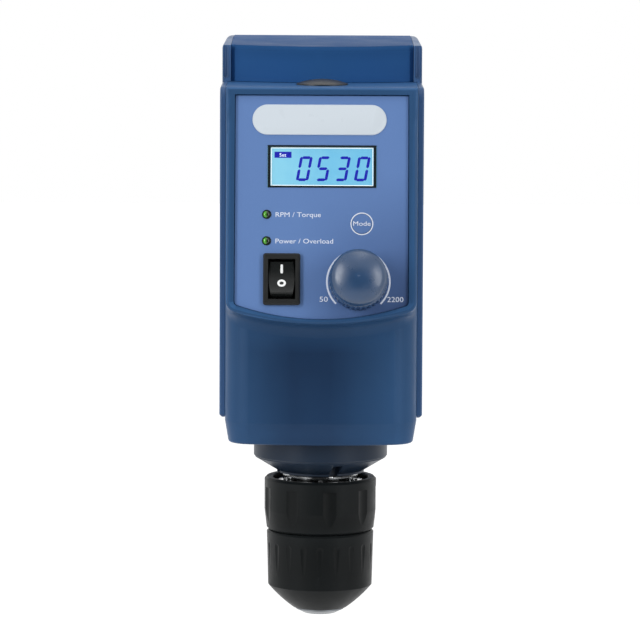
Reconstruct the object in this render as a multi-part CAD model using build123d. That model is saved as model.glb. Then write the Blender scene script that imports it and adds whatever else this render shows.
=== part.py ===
"""Overhead laboratory stirrer: a vertical hollow spindle with a keyless chuck, driven by a belt from a motor
behind it, in a cast housing with a sloping control console, held by a rod at the back.

Millimetres. The origin is on the spindle axis at the chuck's nose. +Z is up, and the front faces -Y.
"""

from math import asin, cos, radians, sin, sqrt, tan
import os

from build123d import *

os.makedirs("parts", exist_ok=True)

# ---------------------------------------------------------------- driving dimensions

# Rear cover: a wrap of two cheeks and a back
COVER_WIDTH = 83.0
COVER_WALL = 2.2
COVER_FRONT_Y = -20.0
COVER_REAR_Y = 98.0
COVER_FOOT_Z = 83.8
COVER_TOP_Z = 235.5
COVER_CORNER_R = 9.0
COVER_TOP_R = 2.6
CHEEK_EDGE_R = 0.9
FOOT_CHAMFER = 1.1
RAIL_WIDTH = 3.5
CHANNEL_R = 1.25
CHANNEL_FOOT_RISE = 2.6
RAIL_FRONT_Y = 22.0
SEAM_GAP = 0.15
CHEEK_CORNER_R = 5.0
TOP_SLOPE_DEG = 1.7
TOP_SLOPE_END_Y = 68.0

# Cast housing: floor, front, ledge and low rear rim
FLOOR_Z = 74.0
FLOOR_THICK = 3.0
BROW_HEIGHT = 16.5
LEDGE_Z = COVER_TOP_Z - BROW_HEIGHT
LEDGE_THICK = 2.6
HOUSING_WALL = 2.6
FRONT_Y = -36.0
FRONT_BULGE_R = 150.0
FRONT_CORNER_R = 12.0
HOUSING_REAR_R = 6.5
FOOT_TAPER_HEIGHT = 9.0
FOOT_TAPER_DEG = 9.5
FOOT_R = 1.2
SIDE_WALL_END_Y = 29.0
REAR_RIM_Z = COVER_FOOT_Z + 3.2

# Sloping console and its panel
PANEL_TILT_DEG = 13.0
PANEL_TOP_Y = -22.0
PANEL_TOP_Z = LEDGE_Z - 3.4
PANEL_WIDTH = COVER_WIDTH - 13.0
PANEL_SIDE_LENGTH = 85.4
PANEL_SAG = 5.9
PANEL_THICK = 1.0
PANEL_CORNER_R = 1.6
PANEL_GAP = 0.3
RIM_PROUD = 1.3
RIM_SIDE = 3.6
RIM_FOOT = 2.2
RIM_R = 1.2
RIM_INNER_R = 0.5
RIM_CORNER_R = 5.0
CONSOLE_WALL = 4.5
COVE_R = 6.0

# Hood: the top plate and the bowed brow behind the ledge
BROW_Y = 14.0
BROW_R = 74.0
HOOD_WALL = 2.2
HOOD_FRONT_R = 2.4
HOOD_CORNER_R = 4.0
HOOD_SCREW_AT = (24.0, COVER_TOP_Z - 8.5)

# Panel furniture: across, and down the slope from the panel's top edge
BADGE_AT = (-1.0, 9.9)
BADGE_SIZE = (54.4, 12.4)
BADGE_THICK = 0.5
DISPLAY_AT = (0.1, 29.0)
DISPLAY_SIZE = (44.0, 17.2)
DISPLAY_BORDER = (1.15, 0.65)
WINDOW_THICK = 0.8
SWITCH_AT = (19.0 - PANEL_WIDTH / 2, PANEL_SIDE_LENGTH - 10.2)
LAMP_X = 12.8 - PANEL_WIDTH / 2
LOWER_LAMP_DOWN = SWITCH_AT[1] - 15.7
UPPER_LAMP_DOWN = (DISPLAY_AT[1] + LOWER_LAMP_DOWN) / 2 + 4.45
LAMP_DOWN = (UPPER_LAMP_DOWN, LOWER_LAMP_DOWN)
LAMP_R = 1.4
LAMP_PROUD = 0.9
KEY_AT = (PANEL_WIDTH / 2 - 18.7, UPPER_LAMP_DOWN + 3.7)
KEY_R = 4.05
KEY_GAP = 0.15
KEY_PROUD = 0.05
KEY_STEM_R = 1.5
SWITCH_BEZEL = (15.0, 21.0)
SWITCH_BODY = (13.0, 19.2)
SWITCH_PROUD = 1.9
SWITCH_DEPTH = 13.0
SWITCH_OPENING_WIDTH = 11.0
ROCKER_WIDTH = 10.4
ROCKER_SIDE_R = 32.0
ROCKER_END_R = 7.7
ROCKER_TILT_DEG = 10.0
ROCKER_TRUNNION_R = 1.2
ROCKER_DISH = 1.0
KNOB_AT = (PANEL_WIDTH / 2 - 20.1, PANEL_SIDE_LENGTH - 9.4)
KNOB_R = 11.8
KNOB_HEIGHT = 20.0
KNOB_SKIRT_HEIGHT = 10.6
KNOB_CROWN_R = 20.4
KNOB_SHOULDER_R = 4.0
KNOB_RIBS = 36
KNOB_RIB_DEPTH = 0.55
KNOB_GAP = 0.5
KNOB_WALL = 1.8
POT_SHAFT_R = 3.0
POT_BUSH_R = 4.2
POT_R = 8.0
POT_DEPTH = 9.0
POT_NUT_FLATS = 12.0
POT_NUT_THICK = 1.8
KNOB_HUB_R = 5.4

# Control board
BOARD_FACE = -6.5
BOARD_HALF = PANEL_WIDTH / 2 - 2.0
BOARD_DOWN = (DISPLAY_AT[1] + 12.0, SWITCH_AT[1] - 12.2)
BOARD_SCREW_X = PANEL_WIDTH / 2 - 5.0
BOARD_SCREW_DOWN = (BOARD_DOWN[0] + 2.5, BOARD_DOWN[1] - 2.5)
POST_R = 2.9

# Spindle and its bearings
SPINDLE_R = 8.5
SPINDLE_BORE_R = 5.25
SPINDLE_TOP_Z = LEDGE_Z - 6.5
BEARING_R = 17.5
BEARING_WIDTH = 10.0
BEARING_RING = 3.1
BALL_R = 2.3
BALL_COUNT = 9
LOWER_BEARING_Z = 67.0
UPPER_BEARING_Z = SPINDLE_TOP_Z - 30.5
CARTRIDGE_BORE_R = 10.5
CARTRIDGE_TUBE_R = 14.0
CARTRIDGE_SEAT_WALL = 1.8
LOCK_RING_Z = 55.5
COLLAR_R = 27.6
COLLAR_EDGE = 0.25
COLLAR_FOOT_Z = 65.9
PILOT_R = 21.0
PILOT_TOP_Z = FLOOR_Z + 8.0
COLLAR_SCREW_R = 24.2
NOSE_FOOT_Z = 59.1
NOSE_FOOT_R = 18.0
NOSE_LIP = 0.8
NOSE_SHOULDER_R = 27.1
NOSE_NOTCH_WIDTH = 3.8
NOSE_NOTCH_DEPTH = 2.0
NOSE_NOTCH_HEIGHT = 4.9
NOSE_NOTCH_START_DEG = 17.0
CIRCLIP_THICK = 1.2
CIRCLIP_R = 18.1
SPINDLE_SHOULDER_R = 9.6
SEAL_R = 14.0
SEAL_HEIGHT = 5.0

# Plug in the ledge above the hollow spindle
PLUG_R = 10.6
PLUG_STEM_R = 9.0
PLUG_STEM_LENGTH = 5.0
PLUG_DOME = 2.4

# Belt drive and motor
MOTOR_Y = 52.0
MOTOR_R = 25.0
MOTOR_FOOT_Z = FLOOR_Z + 38.0
MOTOR_WALL = 2.0
MOTOR_SHAFT_R = 3.0
ROTOR_R = 14.0
STATOR_BORE_R = 14.6
STATOR_SLOTS = 9
SPINDLE_PULLEY_R = 15.0
MOTOR_PULLEY_R = 8.5
PULLEY_RIBS = 4
RIB_PITCH = 2.34
RIB_DEPTH = 1.1
PULLEY_FLANGE = 1.2
PULLEY_FOOT_Z = SPINDLE_TOP_Z - 12.9
BELT_BACK = 1.5
BELT_GAP = 0.25
MOTOR_PLATE = 5.0
MOTOR_SCREW_R = 16.0
STATOR_FOOT_Z = MOTOR_FOOT_Z + 12.0

# Chassis, rod and rear fittings
CHASSIS_HALF = COVER_WIDTH / 2 - 7.5
CHASSIS_PLATE = 4.0
CHASSIS_BACK_Y = 88.5
CHASSIS_LEG_Y = 31.0
SHELF_Z = PULLEY_FOOT_Z - 13.6
INLET_Z = COVER_FOOT_Z + 22.2
CHASSIS_BACK_Z = INLET_Z + 18.0
PILLAR_R = 4.0
PILLAR_X = CHASSIS_HALF - 6.0
PILLAR_AT = ((PILLAR_X, CHASSIS_BACK_Z + 12.0), (PILLAR_X, SHELF_Z - 4.0))
FOOT_SCREWS_AT = ((CHASSIS_HALF - 8.0, 40.0), (CHASSIS_HALF - 8.0, 80.0))
FORK_FRONT_Y = -15.0
ROD_Z = (CHASSIS_BACK_Z + SHELF_Z) / 2 + 10.0
ROD_R = 6.5
ROD_NECK_R = 6.1
ROD_END_Y = 176.0
ROD_THREAD_R = 4.9
ROD_BOSS_R = 10.4
ROD_BOSS_PROUD = 2.5
ROD_NUT_FLATS = 19.0
ROD_NUT_THICK = 6.0
INLET_FLANGE = (31.0, 33.0)
INLET_BODY = (27.4, 29.4)
INLET_FLANGE_THICK = 2.4
INLET_DEPTH = 15.5
SOCKET_SIZE = (24.0, 16.4)
SOCKET_DEPTH = 14.0
SOCKET_RISE = 5.6
DRAWER_SIZE = (21.6, 6.4)
DRAWER_DEPTH = 13.0
DRAWER_DROP = 10.4
PIN_AT = ((0.0, 3.0), (-7.0, -1.0), (7.0, -1.0))
POWER_BOARD_AREA = ((15.0 - CHASSIS_HALF, CHASSIS_HALF - 14.5), (30.0, 78.0))
VENT_SLOTS = 7
VENT_PITCH = 6.0
VENT_WIDTH = 2.6
VENT_HEIGHT = 30.0
VENT_FIRST_Y = 42.0
VENT_Z = 112.0

# Keyless chuck
CHUCK_TOP_Z = 58.7
CHUCK_BACK_R = 15.4
CHUCK_NECK_R = 17.4
CHUCK_TIP_R = 6.8
CHUCK_NOSE_R = 10.0
CHUCK_NOSE_Z = 1.6
SPINDLE_SOCKET_Z = 44.0
JAW_TILT_DEG = 20.0
JAW_R = 3.5
JAW_LENGTH = 27.0
GRIP_R = 4.0
GRIP_ARC_DEG = 40.0
GRIP_LENGTH = 12.0
GRIP_CLOSING = 2.6
GRIP_OPENING = 1.0
JAW_CLOSED_TIP_Z = 0.5
JAW_TEETH = 9
JAW_TOOTH_PITCH = 2.0
JAW_TOOTH_DEPTH = 0.7
NUT_Z = 20.2
NUT_HEIGHT = 6.8
THRUST_HEIGHT = 2.4
JAW_BORE_TOP = 47.0
JAW_START_DEG = 30.0
SLEEVE_SPLIT_Z = 34.8
SLEEVE_GAP = 0.4
FRONT_SLEEVE_R = 22.1
FRONT_SLEEVE_SHOULDER_Z = 12.0
FRONT_SLEEVE_TIP_R = 11.2
FRONT_SLEEVE_TIP_Z = 2.4
SLEEVE_CAVITY_R = 19.3
FRONT_FLUTES = 20
FLUTE_DEPTH = 0.45
FLUTE_R = 3.6
REAR_SLEEVE_R = 23.1
REAR_SLEEVE_TOP_Z = 57.0
REAR_SLEEVE_MOUTH_R = 19.7
REAR_SLEEVE_FOOT_R = 22.2
REAR_SCALLOPS = 9
SCALLOP_DEPTH = 0.6
SCALLOP_R = 9.0

# Fits
SEAT = 0.1
SHAFT_GAP = 0.1
RUNNING = 0.3
JAW_GAP = 0.25
CAGE_GAP = 0.15
SCREW_R = 1.5
SCREW_HEAD_R = 2.9
SCREW_HEAD = 2.2
BASE_SCREW_R = 2.0
BASE_SCREW_HEAD_R = 3.8

# Longer than the whole stirrer, for cuts that go right through
FAR = 300.0

# ---------------------------------------------------------------- derived places

TILT = radians(PANEL_TILT_DEG)
COVER_HALF = COVER_WIDTH / 2
HOUSING_HALF = COVER_HALF - COVER_WALL - SEAM_GAP
HOUSING_REAR_Y = COVER_REAR_Y - COVER_WALL - SEAM_GAP
HOOD_HALF = COVER_HALF - RAIL_WIDTH - SEAM_GAP
PANEL_DOWN = PANEL_SIDE_LENGTH + PANEL_SAG
CONSOLE_INSIDE = CONSOLE_WALL - RIM_PROUD
POT_TOP = CONSOLE_INSIDE
ROCKER_FACE = 4.6
ROCKER_AXIS_Z = -2.6
BEARING_PITCH_R = (SPINDLE_R + BEARING_R) / 2
MOTOR_TOP_Z = SHELF_Z
STATOR_LENGTH = MOTOR_TOP_Z - STATOR_FOOT_Z - 16.0
PULLEY_HEIGHT = PULLEY_RIBS * RIB_PITCH + 2 * PULLEY_FLANGE
CARTRIDGE_SEAT_R = BEARING_R + CARTRIDGE_SEAT_WALL
CARTRIDGE_TOP_Z = UPPER_BEARING_Z + BEARING_WIDTH + 2 * CIRCLIP_THICK
BOSS_END_Y = COVER_REAR_Y + ROD_BOSS_PROUD
JAW_TILT = radians(JAW_TILT_DEG)
JAW_REST_TIP_Z = JAW_CLOSED_TIP_Z + GRIP_CLOSING / tan(JAW_TILT)
JAW_AXIS_BASE = GRIP_R + JAW_R / cos(JAW_TILT) - (JAW_REST_TIP_Z + GRIP_LENGTH) * tan(JAW_TILT)
SOCKET_FLOOR_Y = COVER_REAR_Y + INLET_FLANGE_THICK - SOCKET_DEPTH
DRAWER_FLOOR_Y = COVER_REAR_Y + INLET_FLANGE_THICK - DRAWER_DEPTH

# The panel's own frame: x across, y up the slope, z out of the panel, from the middle of its top edge
PANEL = Plane(
    origin=(0, PANEL_TOP_Y, PANEL_TOP_Z),
    x_dir=(1, 0, 0),
    z_dir=(0, -cos(TILT), sin(TILT)),
).location


# ---------------------------------------------------------------- helpers

def cylinder(radius, low, high):
    """A cylinder on the Z axis from one height to another."""
    return Pos(0, 0, low) * Cylinder(radius, high - low, align=(Align.CENTER, Align.CENTER, Align.MIN))


def tube(outer, inner, low, high):
    """A plain ring on the Z axis."""
    return cylinder(outer, low, high) - cylinder(inner, low - 1, high + 1)


def block(x_range, y_range, z_range):
    """A box between pairs of limits."""
    size = [high - low for low, high in (x_range, y_range, z_range)]
    centre = [(high + low) / 2 for low, high in (x_range, y_range, z_range)]
    return Pos(*centre) * Box(*size)


def turned(points):
    """A solid of revolution about Z from (radius, height) points."""
    outline = make_face(Polyline([(r, 0, z) for r, z in points], close=True))
    return revolve(outline, axis=Axis.Z)


def hexagon(flats, low, high):
    """A hexagonal prism on the Z axis."""
    return Pos(0, 0, low) * extrude(RegularPolygon(flats / 2, 6, major_radius=False), high - low)


def around(count, shape, start=0.0):
    """Copies of a shape evenly round the Z axis."""
    return [Rot(0, 0, start + 360 / count * i) * shape for i in range(count)]


def backwards(shape):
    """Turns something built up the Z axis so that it points back along +Y."""
    return Rot(-90, 0, 0) * shape


def on_panel(spot, shape):
    """Places a piece that is built about the Z axis on the panel, z = 0 being the panel's face."""
    across, down = spot
    return PANEL * Pos(across, -down, 0) * shape


def group(shapes):
    """Several solids in one node."""
    return Compound(children=[solid for shape in shapes for solid in shape.solids()])


def write(name, shape):
    """Writes one node's STEP file."""
    export_step(shape, f"parts/{name}.step")


# ---------------------------------------------------------------- housing and covers

def plan_outline(inset):
    """The housing seen from above: a bowed front with soft corners and a rounded back."""
    half = HOUSING_HALF - inset
    bow_r = FRONT_BULGE_R - inset
    front = FRONT_Y + inset
    rear = HOUSING_REAR_Y - inset
    corner = front + bow_r - sqrt(bow_r**2 - half**2)
    bow = ThreePointArc((-half, corner), (0, front), (half, corner))
    sides = Polyline([(half, corner), (half, rear), (-half, rear), (-half, corner)])
    face = make_face(bow + sides)
    face = fillet(face.vertices().sort_by(Axis.Y)[:2], FRONT_CORNER_R - inset)
    return fillet(face.vertices().sort_by(Axis.Y)[-2:], HOUSING_REAR_R - inset)


def front_of_console(depth):
    """Everything in front of a plane this far behind the console's rim."""
    slab = Box(FAR, 2 * FAR, FAR, align=(Align.CENTER, Align.CENTER, Align.MIN))
    return PANEL * Pos(0, 0, RIM_PROUD - depth) * slab


def console_outline(grow, foot_grow, corner_r, top):
    """The console or panel face in the panel's frame, with its bowed lower edge."""
    half = PANEL_WIDTH / 2 + grow
    side = -PANEL_SIDE_LENGTH - foot_grow
    arc = ThreePointArc((-half, side), (0, -PANEL_DOWN - foot_grow), (half, side))
    frame = Polyline([(half, side), (half, top), (-half, top), (-half, side)])
    face = make_face(arc + frame)
    return fillet(face.vertices().sort_by(Axis.Y)[:2], corner_r)


def housing_block(inset):
    """The housing's block without its console, cut back to the console's slope."""
    low = FLOOR_Z + (FLOOR_THICK if inset else 0)
    high = LEDGE_Z - (LEDGE_THICK if inset else 0)
    taper_top = FLOOR_Z + FOOT_TAPER_HEIGHT
    upright = extrude(plan_outline(inset), high - taper_top)
    foot = extrude(plan_outline(inset), -(taper_top - low), taper=FOOT_TAPER_DEG)
    solid = Pos(0, 0, taper_top) * (upright + foot)
    return solid - front_of_console(CONSOLE_WALL if inset else 0)


def console_block(inset):
    """The console's prism, square to its own face, up to the ledge."""
    corner_r = max(RIM_CORNER_R - inset, 1.0)
    outline = console_outline(RIM_SIDE - inset, RIM_FOOT - inset, corner_r, BROW_HEIGHT)
    front = RIM_PROUD - (CONSOLE_WALL if inset else 0)
    depth = (PANEL_DOWN * sin(TILT) + FRONT_CORNER_R) / cos(TILT)
    prism = PANEL * Pos(0, 0, front) * extrude(outline, -depth)
    top = LEDGE_Z - (LEDGE_THICK if inset else 0)
    return prism - block((-FAR, FAR), (-FAR, FAR), (top, top + FAR))


def on_rim(edge):
    """Whether an edge lies in the plane of the console's rim."""
    local = PANEL.inverse() * Location(edge.center())
    return abs(local.position.Z - RIM_PROUD) < 0.01


def under_lip(solid):
    """The edge where the console's lip meets the bowed front."""
    lip = PANEL * Location((0, -PANEL_DOWN - RIM_FOOT, 0))
    curved = [edge for edge in solid.edges() if edge.geom_type == GeomType.BSPLINE]
    return min(curved, key=lambda edge: abs(edge.center().Z - lip.position.Z) + abs(edge.center().X))


def housing_outer():
    """The housing's outside, with its rounded rim, its cove under the lip and its rounded foot."""
    solid = housing_block(0) + console_block(0)
    solid = fillet(under_lip(solid), COVE_R)
    foot = [edge for edge in solid.edges() if abs(edge.center().Z - FLOOR_Z) < 0.01]
    solid = fillet(foot, FOOT_R)
    rim = [edge for edge in solid.edges() if on_rim(edge)]
    return fillet(rim, RIM_R)


def front_housing():
    """The cast front: floor, bowed front, console with the panel's recess, ledge and low rear rim."""
    solid = housing_outer() - housing_block(HOUSING_WALL) - console_block(HOUSING_WALL)
    solid -= block((-FAR, FAR), (SIDE_WALL_END_Y, FAR), (REAR_RIM_Z, LEDGE_Z + 5))
    recess = console_outline(PANEL_GAP, PANEL_GAP, PANEL_CORNER_R + PANEL_GAP, PANEL_GAP)
    solid -= PANEL * Pos(0, 0, -PANEL_THICK) * extrude(recess, 10)
    for x in (-BOARD_SCREW_X, BOARD_SCREW_X):
        for down in BOARD_SCREW_DOWN:
            post = cylinder(POST_R, BOARD_FACE, -CONSOLE_INSIDE + 0.5)
            post -= cylinder(SCREW_R + SEAT, BOARD_FACE, -1.5)
            solid += on_panel((x, down), post)
    solid -= panel_cuts(0)
    solid -= cylinder(PLUG_STEM_R + RUNNING, LEDGE_Z - 10, LEDGE_Z + 5)
    solid -= cylinder(PILOT_R + SEAT, FLOOR_Z - 5, FLOOR_Z + 10)
    for x, y in FOOT_SCREWS_AT:
        for side in (-1, 1):
            solid -= Pos(side * x, y) * cylinder(BASE_SCREW_R + SEAT, FLOOR_Z - 5, FLOOR_Z + 10)
    clearance = cylinder(SCREW_R + SEAT, FLOOR_Z - 1, FLOOR_Z + 10)
    for shape in around(4, Pos(COLLAR_SCREW_R, 0, 0) * clearance, 45):
        solid -= shape
    return solid


def panel_cuts(grow):
    """The openings that the panel and the wall behind it share, with some slack all round."""
    deep = 12
    display = Box(DISPLAY_SIZE[0] + 2 * (SEAT + grow), DISPLAY_SIZE[1] + 2 * (SEAT + grow), deep)
    switch = Box(SWITCH_BODY[0] + 2 * (SEAT + grow), SWITCH_BODY[1] + 2 * (SEAT + grow), deep)
    cuts = [on_panel(DISPLAY_AT, display), on_panel(SWITCH_AT, switch)]
    for down in LAMP_DOWN:
        cuts.append(on_panel((LAMP_X, down), cylinder(LAMP_R + SEAT + grow, -deep / 2, deep / 2)))
    cuts.append(on_panel(KEY_AT, cylinder(KEY_R + KEY_GAP + grow, -deep / 2, deep / 2)))
    cuts.append(on_panel(KNOB_AT, cylinder(POT_BUSH_R + SEAT + grow, -deep / 2, deep / 2)))
    return cuts


def control_panel():
    """The printed panel that lies in the console's recess."""
    outline = console_outline(0, 0, PANEL_CORNER_R, 0)
    return PANEL * extrude(outline, -PANEL_THICK) - panel_cuts(0)


def cover_outline(inset):
    """The cover's plan, open at the front."""
    half = COVER_HALF - inset
    face = make_face(Polyline([
        (half, COVER_FRONT_Y),
        (half, COVER_REAR_Y - inset),
        (-half, COVER_REAR_Y - inset),
        (-half, COVER_FRONT_Y),
    ], close=True))
    return fillet(face.vertices().sort_by(Axis.Y)[-2:], COVER_CORNER_R - inset)


def above_top():
    """What the top's gentle slope to the front takes away."""
    slab = Box(FAR, FAR, 40, align=(Align.CENTER, Align.MAX, Align.MIN))
    return Pos(0, TOP_SLOPE_END_Y, COVER_TOP_Z) * Rot(TOP_SLOPE_DEG, 0, 0) * slab


def rear_cover():
    """Two cheeks and a back, lower over the ledge, with a channelled rail beside the brow."""
    height = COVER_TOP_Z - COVER_FOOT_Z
    solid = Pos(0, 0, COVER_FOOT_Z) * extrude(cover_outline(0), height)
    solid -= block((-FAR, FAR), (-FAR, RAIL_FRONT_Y), (LEDGE_Z, COVER_TOP_Z + 5))
    corner = [edge for edge in solid.edges().filter_by(Axis.X) if abs(edge.center().Z - LEDGE_Z) < 0.01]
    solid = fillet(min(corner, key=lambda edge: edge.center().Y), CHEEK_CORNER_R)
    top = [edge for edge in solid.edges() if abs(edge.center().Z - COVER_TOP_Z) < 0.01]
    solid = fillet(top, COVER_TOP_R)
    foot = [edge for edge in solid.edges() if abs(edge.center().Z - COVER_FOOT_Z) < 0.01]
    solid = chamfer(foot, FOOT_CHAMFER)
    fronts = [
        edge for edge in solid.edges().filter_by(Axis.Z)
        if edge.center().Y < RAIL_FRONT_Y + 1 and abs(edge.center().X) > COVER_HALF - 0.1
    ]
    solid = fillet(fronts, CHEEK_EDGE_R)
    inside = Pos(0, 0, COVER_FOOT_Z - 5) * extrude(cover_outline(COVER_WALL), height + 20)
    hollow = inside - block((-FAR, FAR), (-FAR, FAR), (LEDGE_Z + SEAM_GAP, COVER_TOP_Z + 20))
    solid -= hollow
    rail_half = COVER_HALF - RAIL_WIDTH
    solid -= block((-rail_half, rail_half), (-FAR, COVER_REAR_Y - COVER_WALL), (LEDGE_Z, COVER_TOP_Z + 5))
    solid -= above_top()
    for side in (-1, 1):
        x = side * (COVER_HALF - RAIL_WIDTH / 2)
        foot_z = LEDGE_Z + CHANNEL_FOOT_RISE
        channel = cylinder(CHANNEL_R, foot_z, COVER_TOP_Z + 5) + Pos(0, 0, foot_z) * Sphere(CHANNEL_R)
        solid -= Pos(x, RAIL_FRONT_Y, 0) * channel
    solid -= Pos(0, COVER_REAR_Y, ROD_Z) * backwards(cylinder(ROD_BOSS_R + RUNNING, -10, 10))
    inlet = Box(INLET_BODY[0] + 2 * SEAT, 20, INLET_BODY[1] + 2 * SEAT)
    solid -= Pos(0, COVER_REAR_Y, INLET_Z) * inlet
    for x, z in PILLAR_AT + (HOOD_SCREW_AT,):
        for side in (-1, 1):
            solid -= Pos(side * x, COVER_REAR_Y, z) * backwards(cylinder(SCREW_R + SEAT, -10, 10))
    for index in range(VENT_SLOTS):
        y = VENT_FIRST_Y + index * VENT_PITCH
        slot = Pos(0, y, VENT_Z) * Rot(0, 90, 0) * SlotOverall(VENT_HEIGHT, VENT_WIDTH)
        solid -= Pos(-FAR / 2, 0, 0) * extrude(slot, FAR, dir=(1, 0, 0))
    return solid


def hood():
    """The bowed brow and the top plate between the rails."""
    outer = hood_form(0)
    inner = hood_form(HOOD_WALL)
    solid = outer - inner
    for side in (-1, 1):
        x, z = HOOD_SCREW_AT
        boss = block((x - 4, x + 4), (COVER_REAR_Y - COVER_WALL - SEAM_GAP - 9, COVER_REAR_Y - COVER_WALL),
                     (z - 4, COVER_TOP_Z - 1))
        boss &= outer
        boss -= Pos(x, COVER_REAR_Y, z) * backwards(cylinder(SCREW_R + SEAT, -10, 10))
        solid += boss if side > 0 else mirror(boss, about=Plane.YZ)
        solid -= Pos(side * x, COVER_REAR_Y, z) * backwards(cylinder(SCREW_R + SEAT, -9, 10))
    return solid


def hood_form(inset):
    """The hood's solid form, its brow bowed in plan."""
    half = HOOD_HALF - inset
    bow_r = BROW_R - inset
    front = BROW_Y + inset
    corner = front + bow_r - sqrt(bow_r**2 - half**2)
    rear = COVER_REAR_Y - COVER_WALL - SEAM_GAP - inset
    bow = ThreePointArc((-half, corner), (0, front), (half, corner))
    sides = Polyline([(half, corner), (half, rear), (-half, rear), (-half, corner)])
    face = make_face(bow + sides)
    low = LEDGE_Z - (10 if inset else -SEAM_GAP)
    high = COVER_TOP_Z - inset
    solid = Pos(0, 0, low) * extrude(face, high - low)
    solid -= Pos(0, 0, -inset) * above_top()
    if inset:
        return solid
    bows = [edge for edge in solid.edges() if edge.center().Y < corner and abs(edge.center().X) < 1]
    return fillet(max(bows, key=lambda edge: edge.center().Z), HOOD_FRONT_R)


def shaft_plug():
    """The low domed rubber plug over the hollow spindle."""
    rise = PLUG_DOME - 0.5
    dome_r = (PLUG_R**2 + rise**2) / (2 * rise)
    dome = Pos(0, 0, LEDGE_Z + PLUG_DOME - dome_r) * Sphere(dome_r)
    cap = cylinder(PLUG_R, LEDGE_Z, LEDGE_Z + PLUG_DOME) & dome
    stem = tube(PLUG_STEM_R, PLUG_STEM_R - 1.6, LEDGE_Z - PLUG_STEM_LENGTH, LEDGE_Z)
    return cap + stem


# ---------------------------------------------------------------- panel furniture

def badge_plate():
    """A bare stadium-shaped plate at the panel's top."""
    length, height = BADGE_SIZE
    plate = extrude(SlotOverall(length, height), BADGE_THICK)
    top = plate.edges().group_by(Axis.Z)[-1]
    return on_panel(BADGE_AT, chamfer(top, 0.2))


def display_frame():
    """The black surround of the display."""
    outer = Pos(0, 0, -PANEL_THICK - 2.2) * extrude(Rectangle(*DISPLAY_SIZE), PANEL_THICK + 2.2 + 0.25)
    lit = [size - 2 * border for size, border in zip(DISPLAY_SIZE, DISPLAY_BORDER)]
    return on_panel(DISPLAY_AT, outer - Box(lit[0], lit[1], 20))


def display_window():
    """The clear window in the surround."""
    lit = [size - 2 * (border + SEAT) for size, border in zip(DISPLAY_SIZE, DISPLAY_BORDER)]
    return on_panel(DISPLAY_AT, Pos(0, 0, -WINDOW_THICK) * extrude(Rectangle(*lit), WINDOW_THICK))


def display_module():
    """The display's glass and circuit behind the window."""
    lit = [size - 2 * (border + SEAT) for size, border in zip(DISPLAY_SIZE, DISPLAY_BORDER)]
    glass = Pos(0, 0, -CONSOLE_INSIDE) * extrude(Rectangle(*lit), CONSOLE_INSIDE - WINDOW_THICK - SEAT)
    board_size = (DISPLAY_SIZE[0] + 6, DISPLAY_SIZE[1] + 4)
    board = Pos(0, 0, -CONSOLE_INSIDE - 1.6) * extrude(Rectangle(*board_size), 1.6)
    return on_panel(DISPLAY_AT, glass + board)


def lamp(down):
    """A round lamp with a domed end, standing on the control board."""
    body = cylinder(LAMP_R, BOARD_FACE + 1.0, LAMP_PROUD - LAMP_R * 0.6)
    dome = Pos(0, 0, LAMP_PROUD - LAMP_R * 0.6) * (
        scale(Sphere(LAMP_R), by=(1, 1, 0.6)) & cylinder(LAMP_R + 1, 0, LAMP_R)
    )
    flange = cylinder(LAMP_R + 0.4, BOARD_FACE, BOARD_FACE + 1.0)
    return on_panel((LAMP_X, down), body + dome + flange)


def mode_key():
    """The flush round key and its stem."""
    cap = cylinder(KEY_R, -CONSOLE_INSIDE - 0.2, KEY_PROUD)
    cap = chamfer(cap.edges().group_by(Axis.Z)[-1], 0.1)
    flange = cylinder(KEY_R + 0.9, -CONSOLE_INSIDE - 0.9, -CONSOLE_INSIDE - 0.2)
    stem = cylinder(KEY_STEM_R, BOARD_FACE + 1.3, -CONSOLE_INSIDE - 0.9)
    return on_panel(KEY_AT, cap + flange + stem)


def switch_frame():
    """The rocker switch's bezel and body."""
    bezel = extrude(Rectangle(*SWITCH_BEZEL), SWITCH_PROUD)
    bezel = fillet(bezel.edges().filter_by(Axis.Z), 1.0)
    bezel = chamfer(bezel.edges().group_by(Axis.Z)[-1], 0.6)
    body = Pos(0, 0, -SWITCH_DEPTH) * extrude(Rectangle(*SWITCH_BODY), SWITCH_DEPTH)
    well = Pos(0, 0, -8.5) * extrude(Rectangle(SWITCH_OPENING_WIDTH, 2 * ROCKER_END_R + 1.0), 20)
    solid = bezel + body - well
    pivot = Rot(0, 90, 0) * Cylinder(ROCKER_TRUNNION_R + SEAT, SWITCH_BODY[0] + 5)
    return on_panel(SWITCH_AT, solid - Pos(0, 0, ROCKER_AXIS_Z) * pivot)


def rocker_paddle():
    """The rocker, tipped so that its upper end is pressed in."""
    round_form = Rot(0, 90, 0) * Cylinder(ROCKER_END_R, ROCKER_WIDTH)
    lower = Pos(0, 0, -10) * Box(ROCKER_WIDTH + 2, 30, 20)
    solid = round_form - Pos(0, 0, -1.6) * lower
    dish_r = 26.0
    dish = Rot(0, 90, 0) * Cylinder(dish_r, ROCKER_WIDTH + 2)
    solid -= Pos(0, 0, ROCKER_FACE + dish_r - ROCKER_DISH) * dish
    for side in (-1, 1):
        solid &= Pos(side * (ROCKER_SIDE_R - ROCKER_WIDTH / 2), 0, 0) * Cylinder(ROCKER_SIDE_R, FAR)
    pivot = Rot(0, 90, 0) * Cylinder(ROCKER_TRUNNION_R, SWITCH_BODY[0] - 0.6)
    tipped = Rot(-ROCKER_TILT_DEG, 0, 0) * (solid + pivot)
    return on_panel(SWITCH_AT, Pos(0, 0, ROCKER_AXIS_Z) * tipped)


def switch_terminals():
    """Four flat blades at the back of the rocker switch."""
    blades = [
        Pos(x, y, -SWITCH_DEPTH - 6.3) * extrude(Rectangle(4.8, 0.8), 6.3)
        for x in (-3.2, 3.2)
        for y in (-5.5, 5.5)
    ]
    return group([on_panel(SWITCH_AT, blade) for blade in blades])


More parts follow.
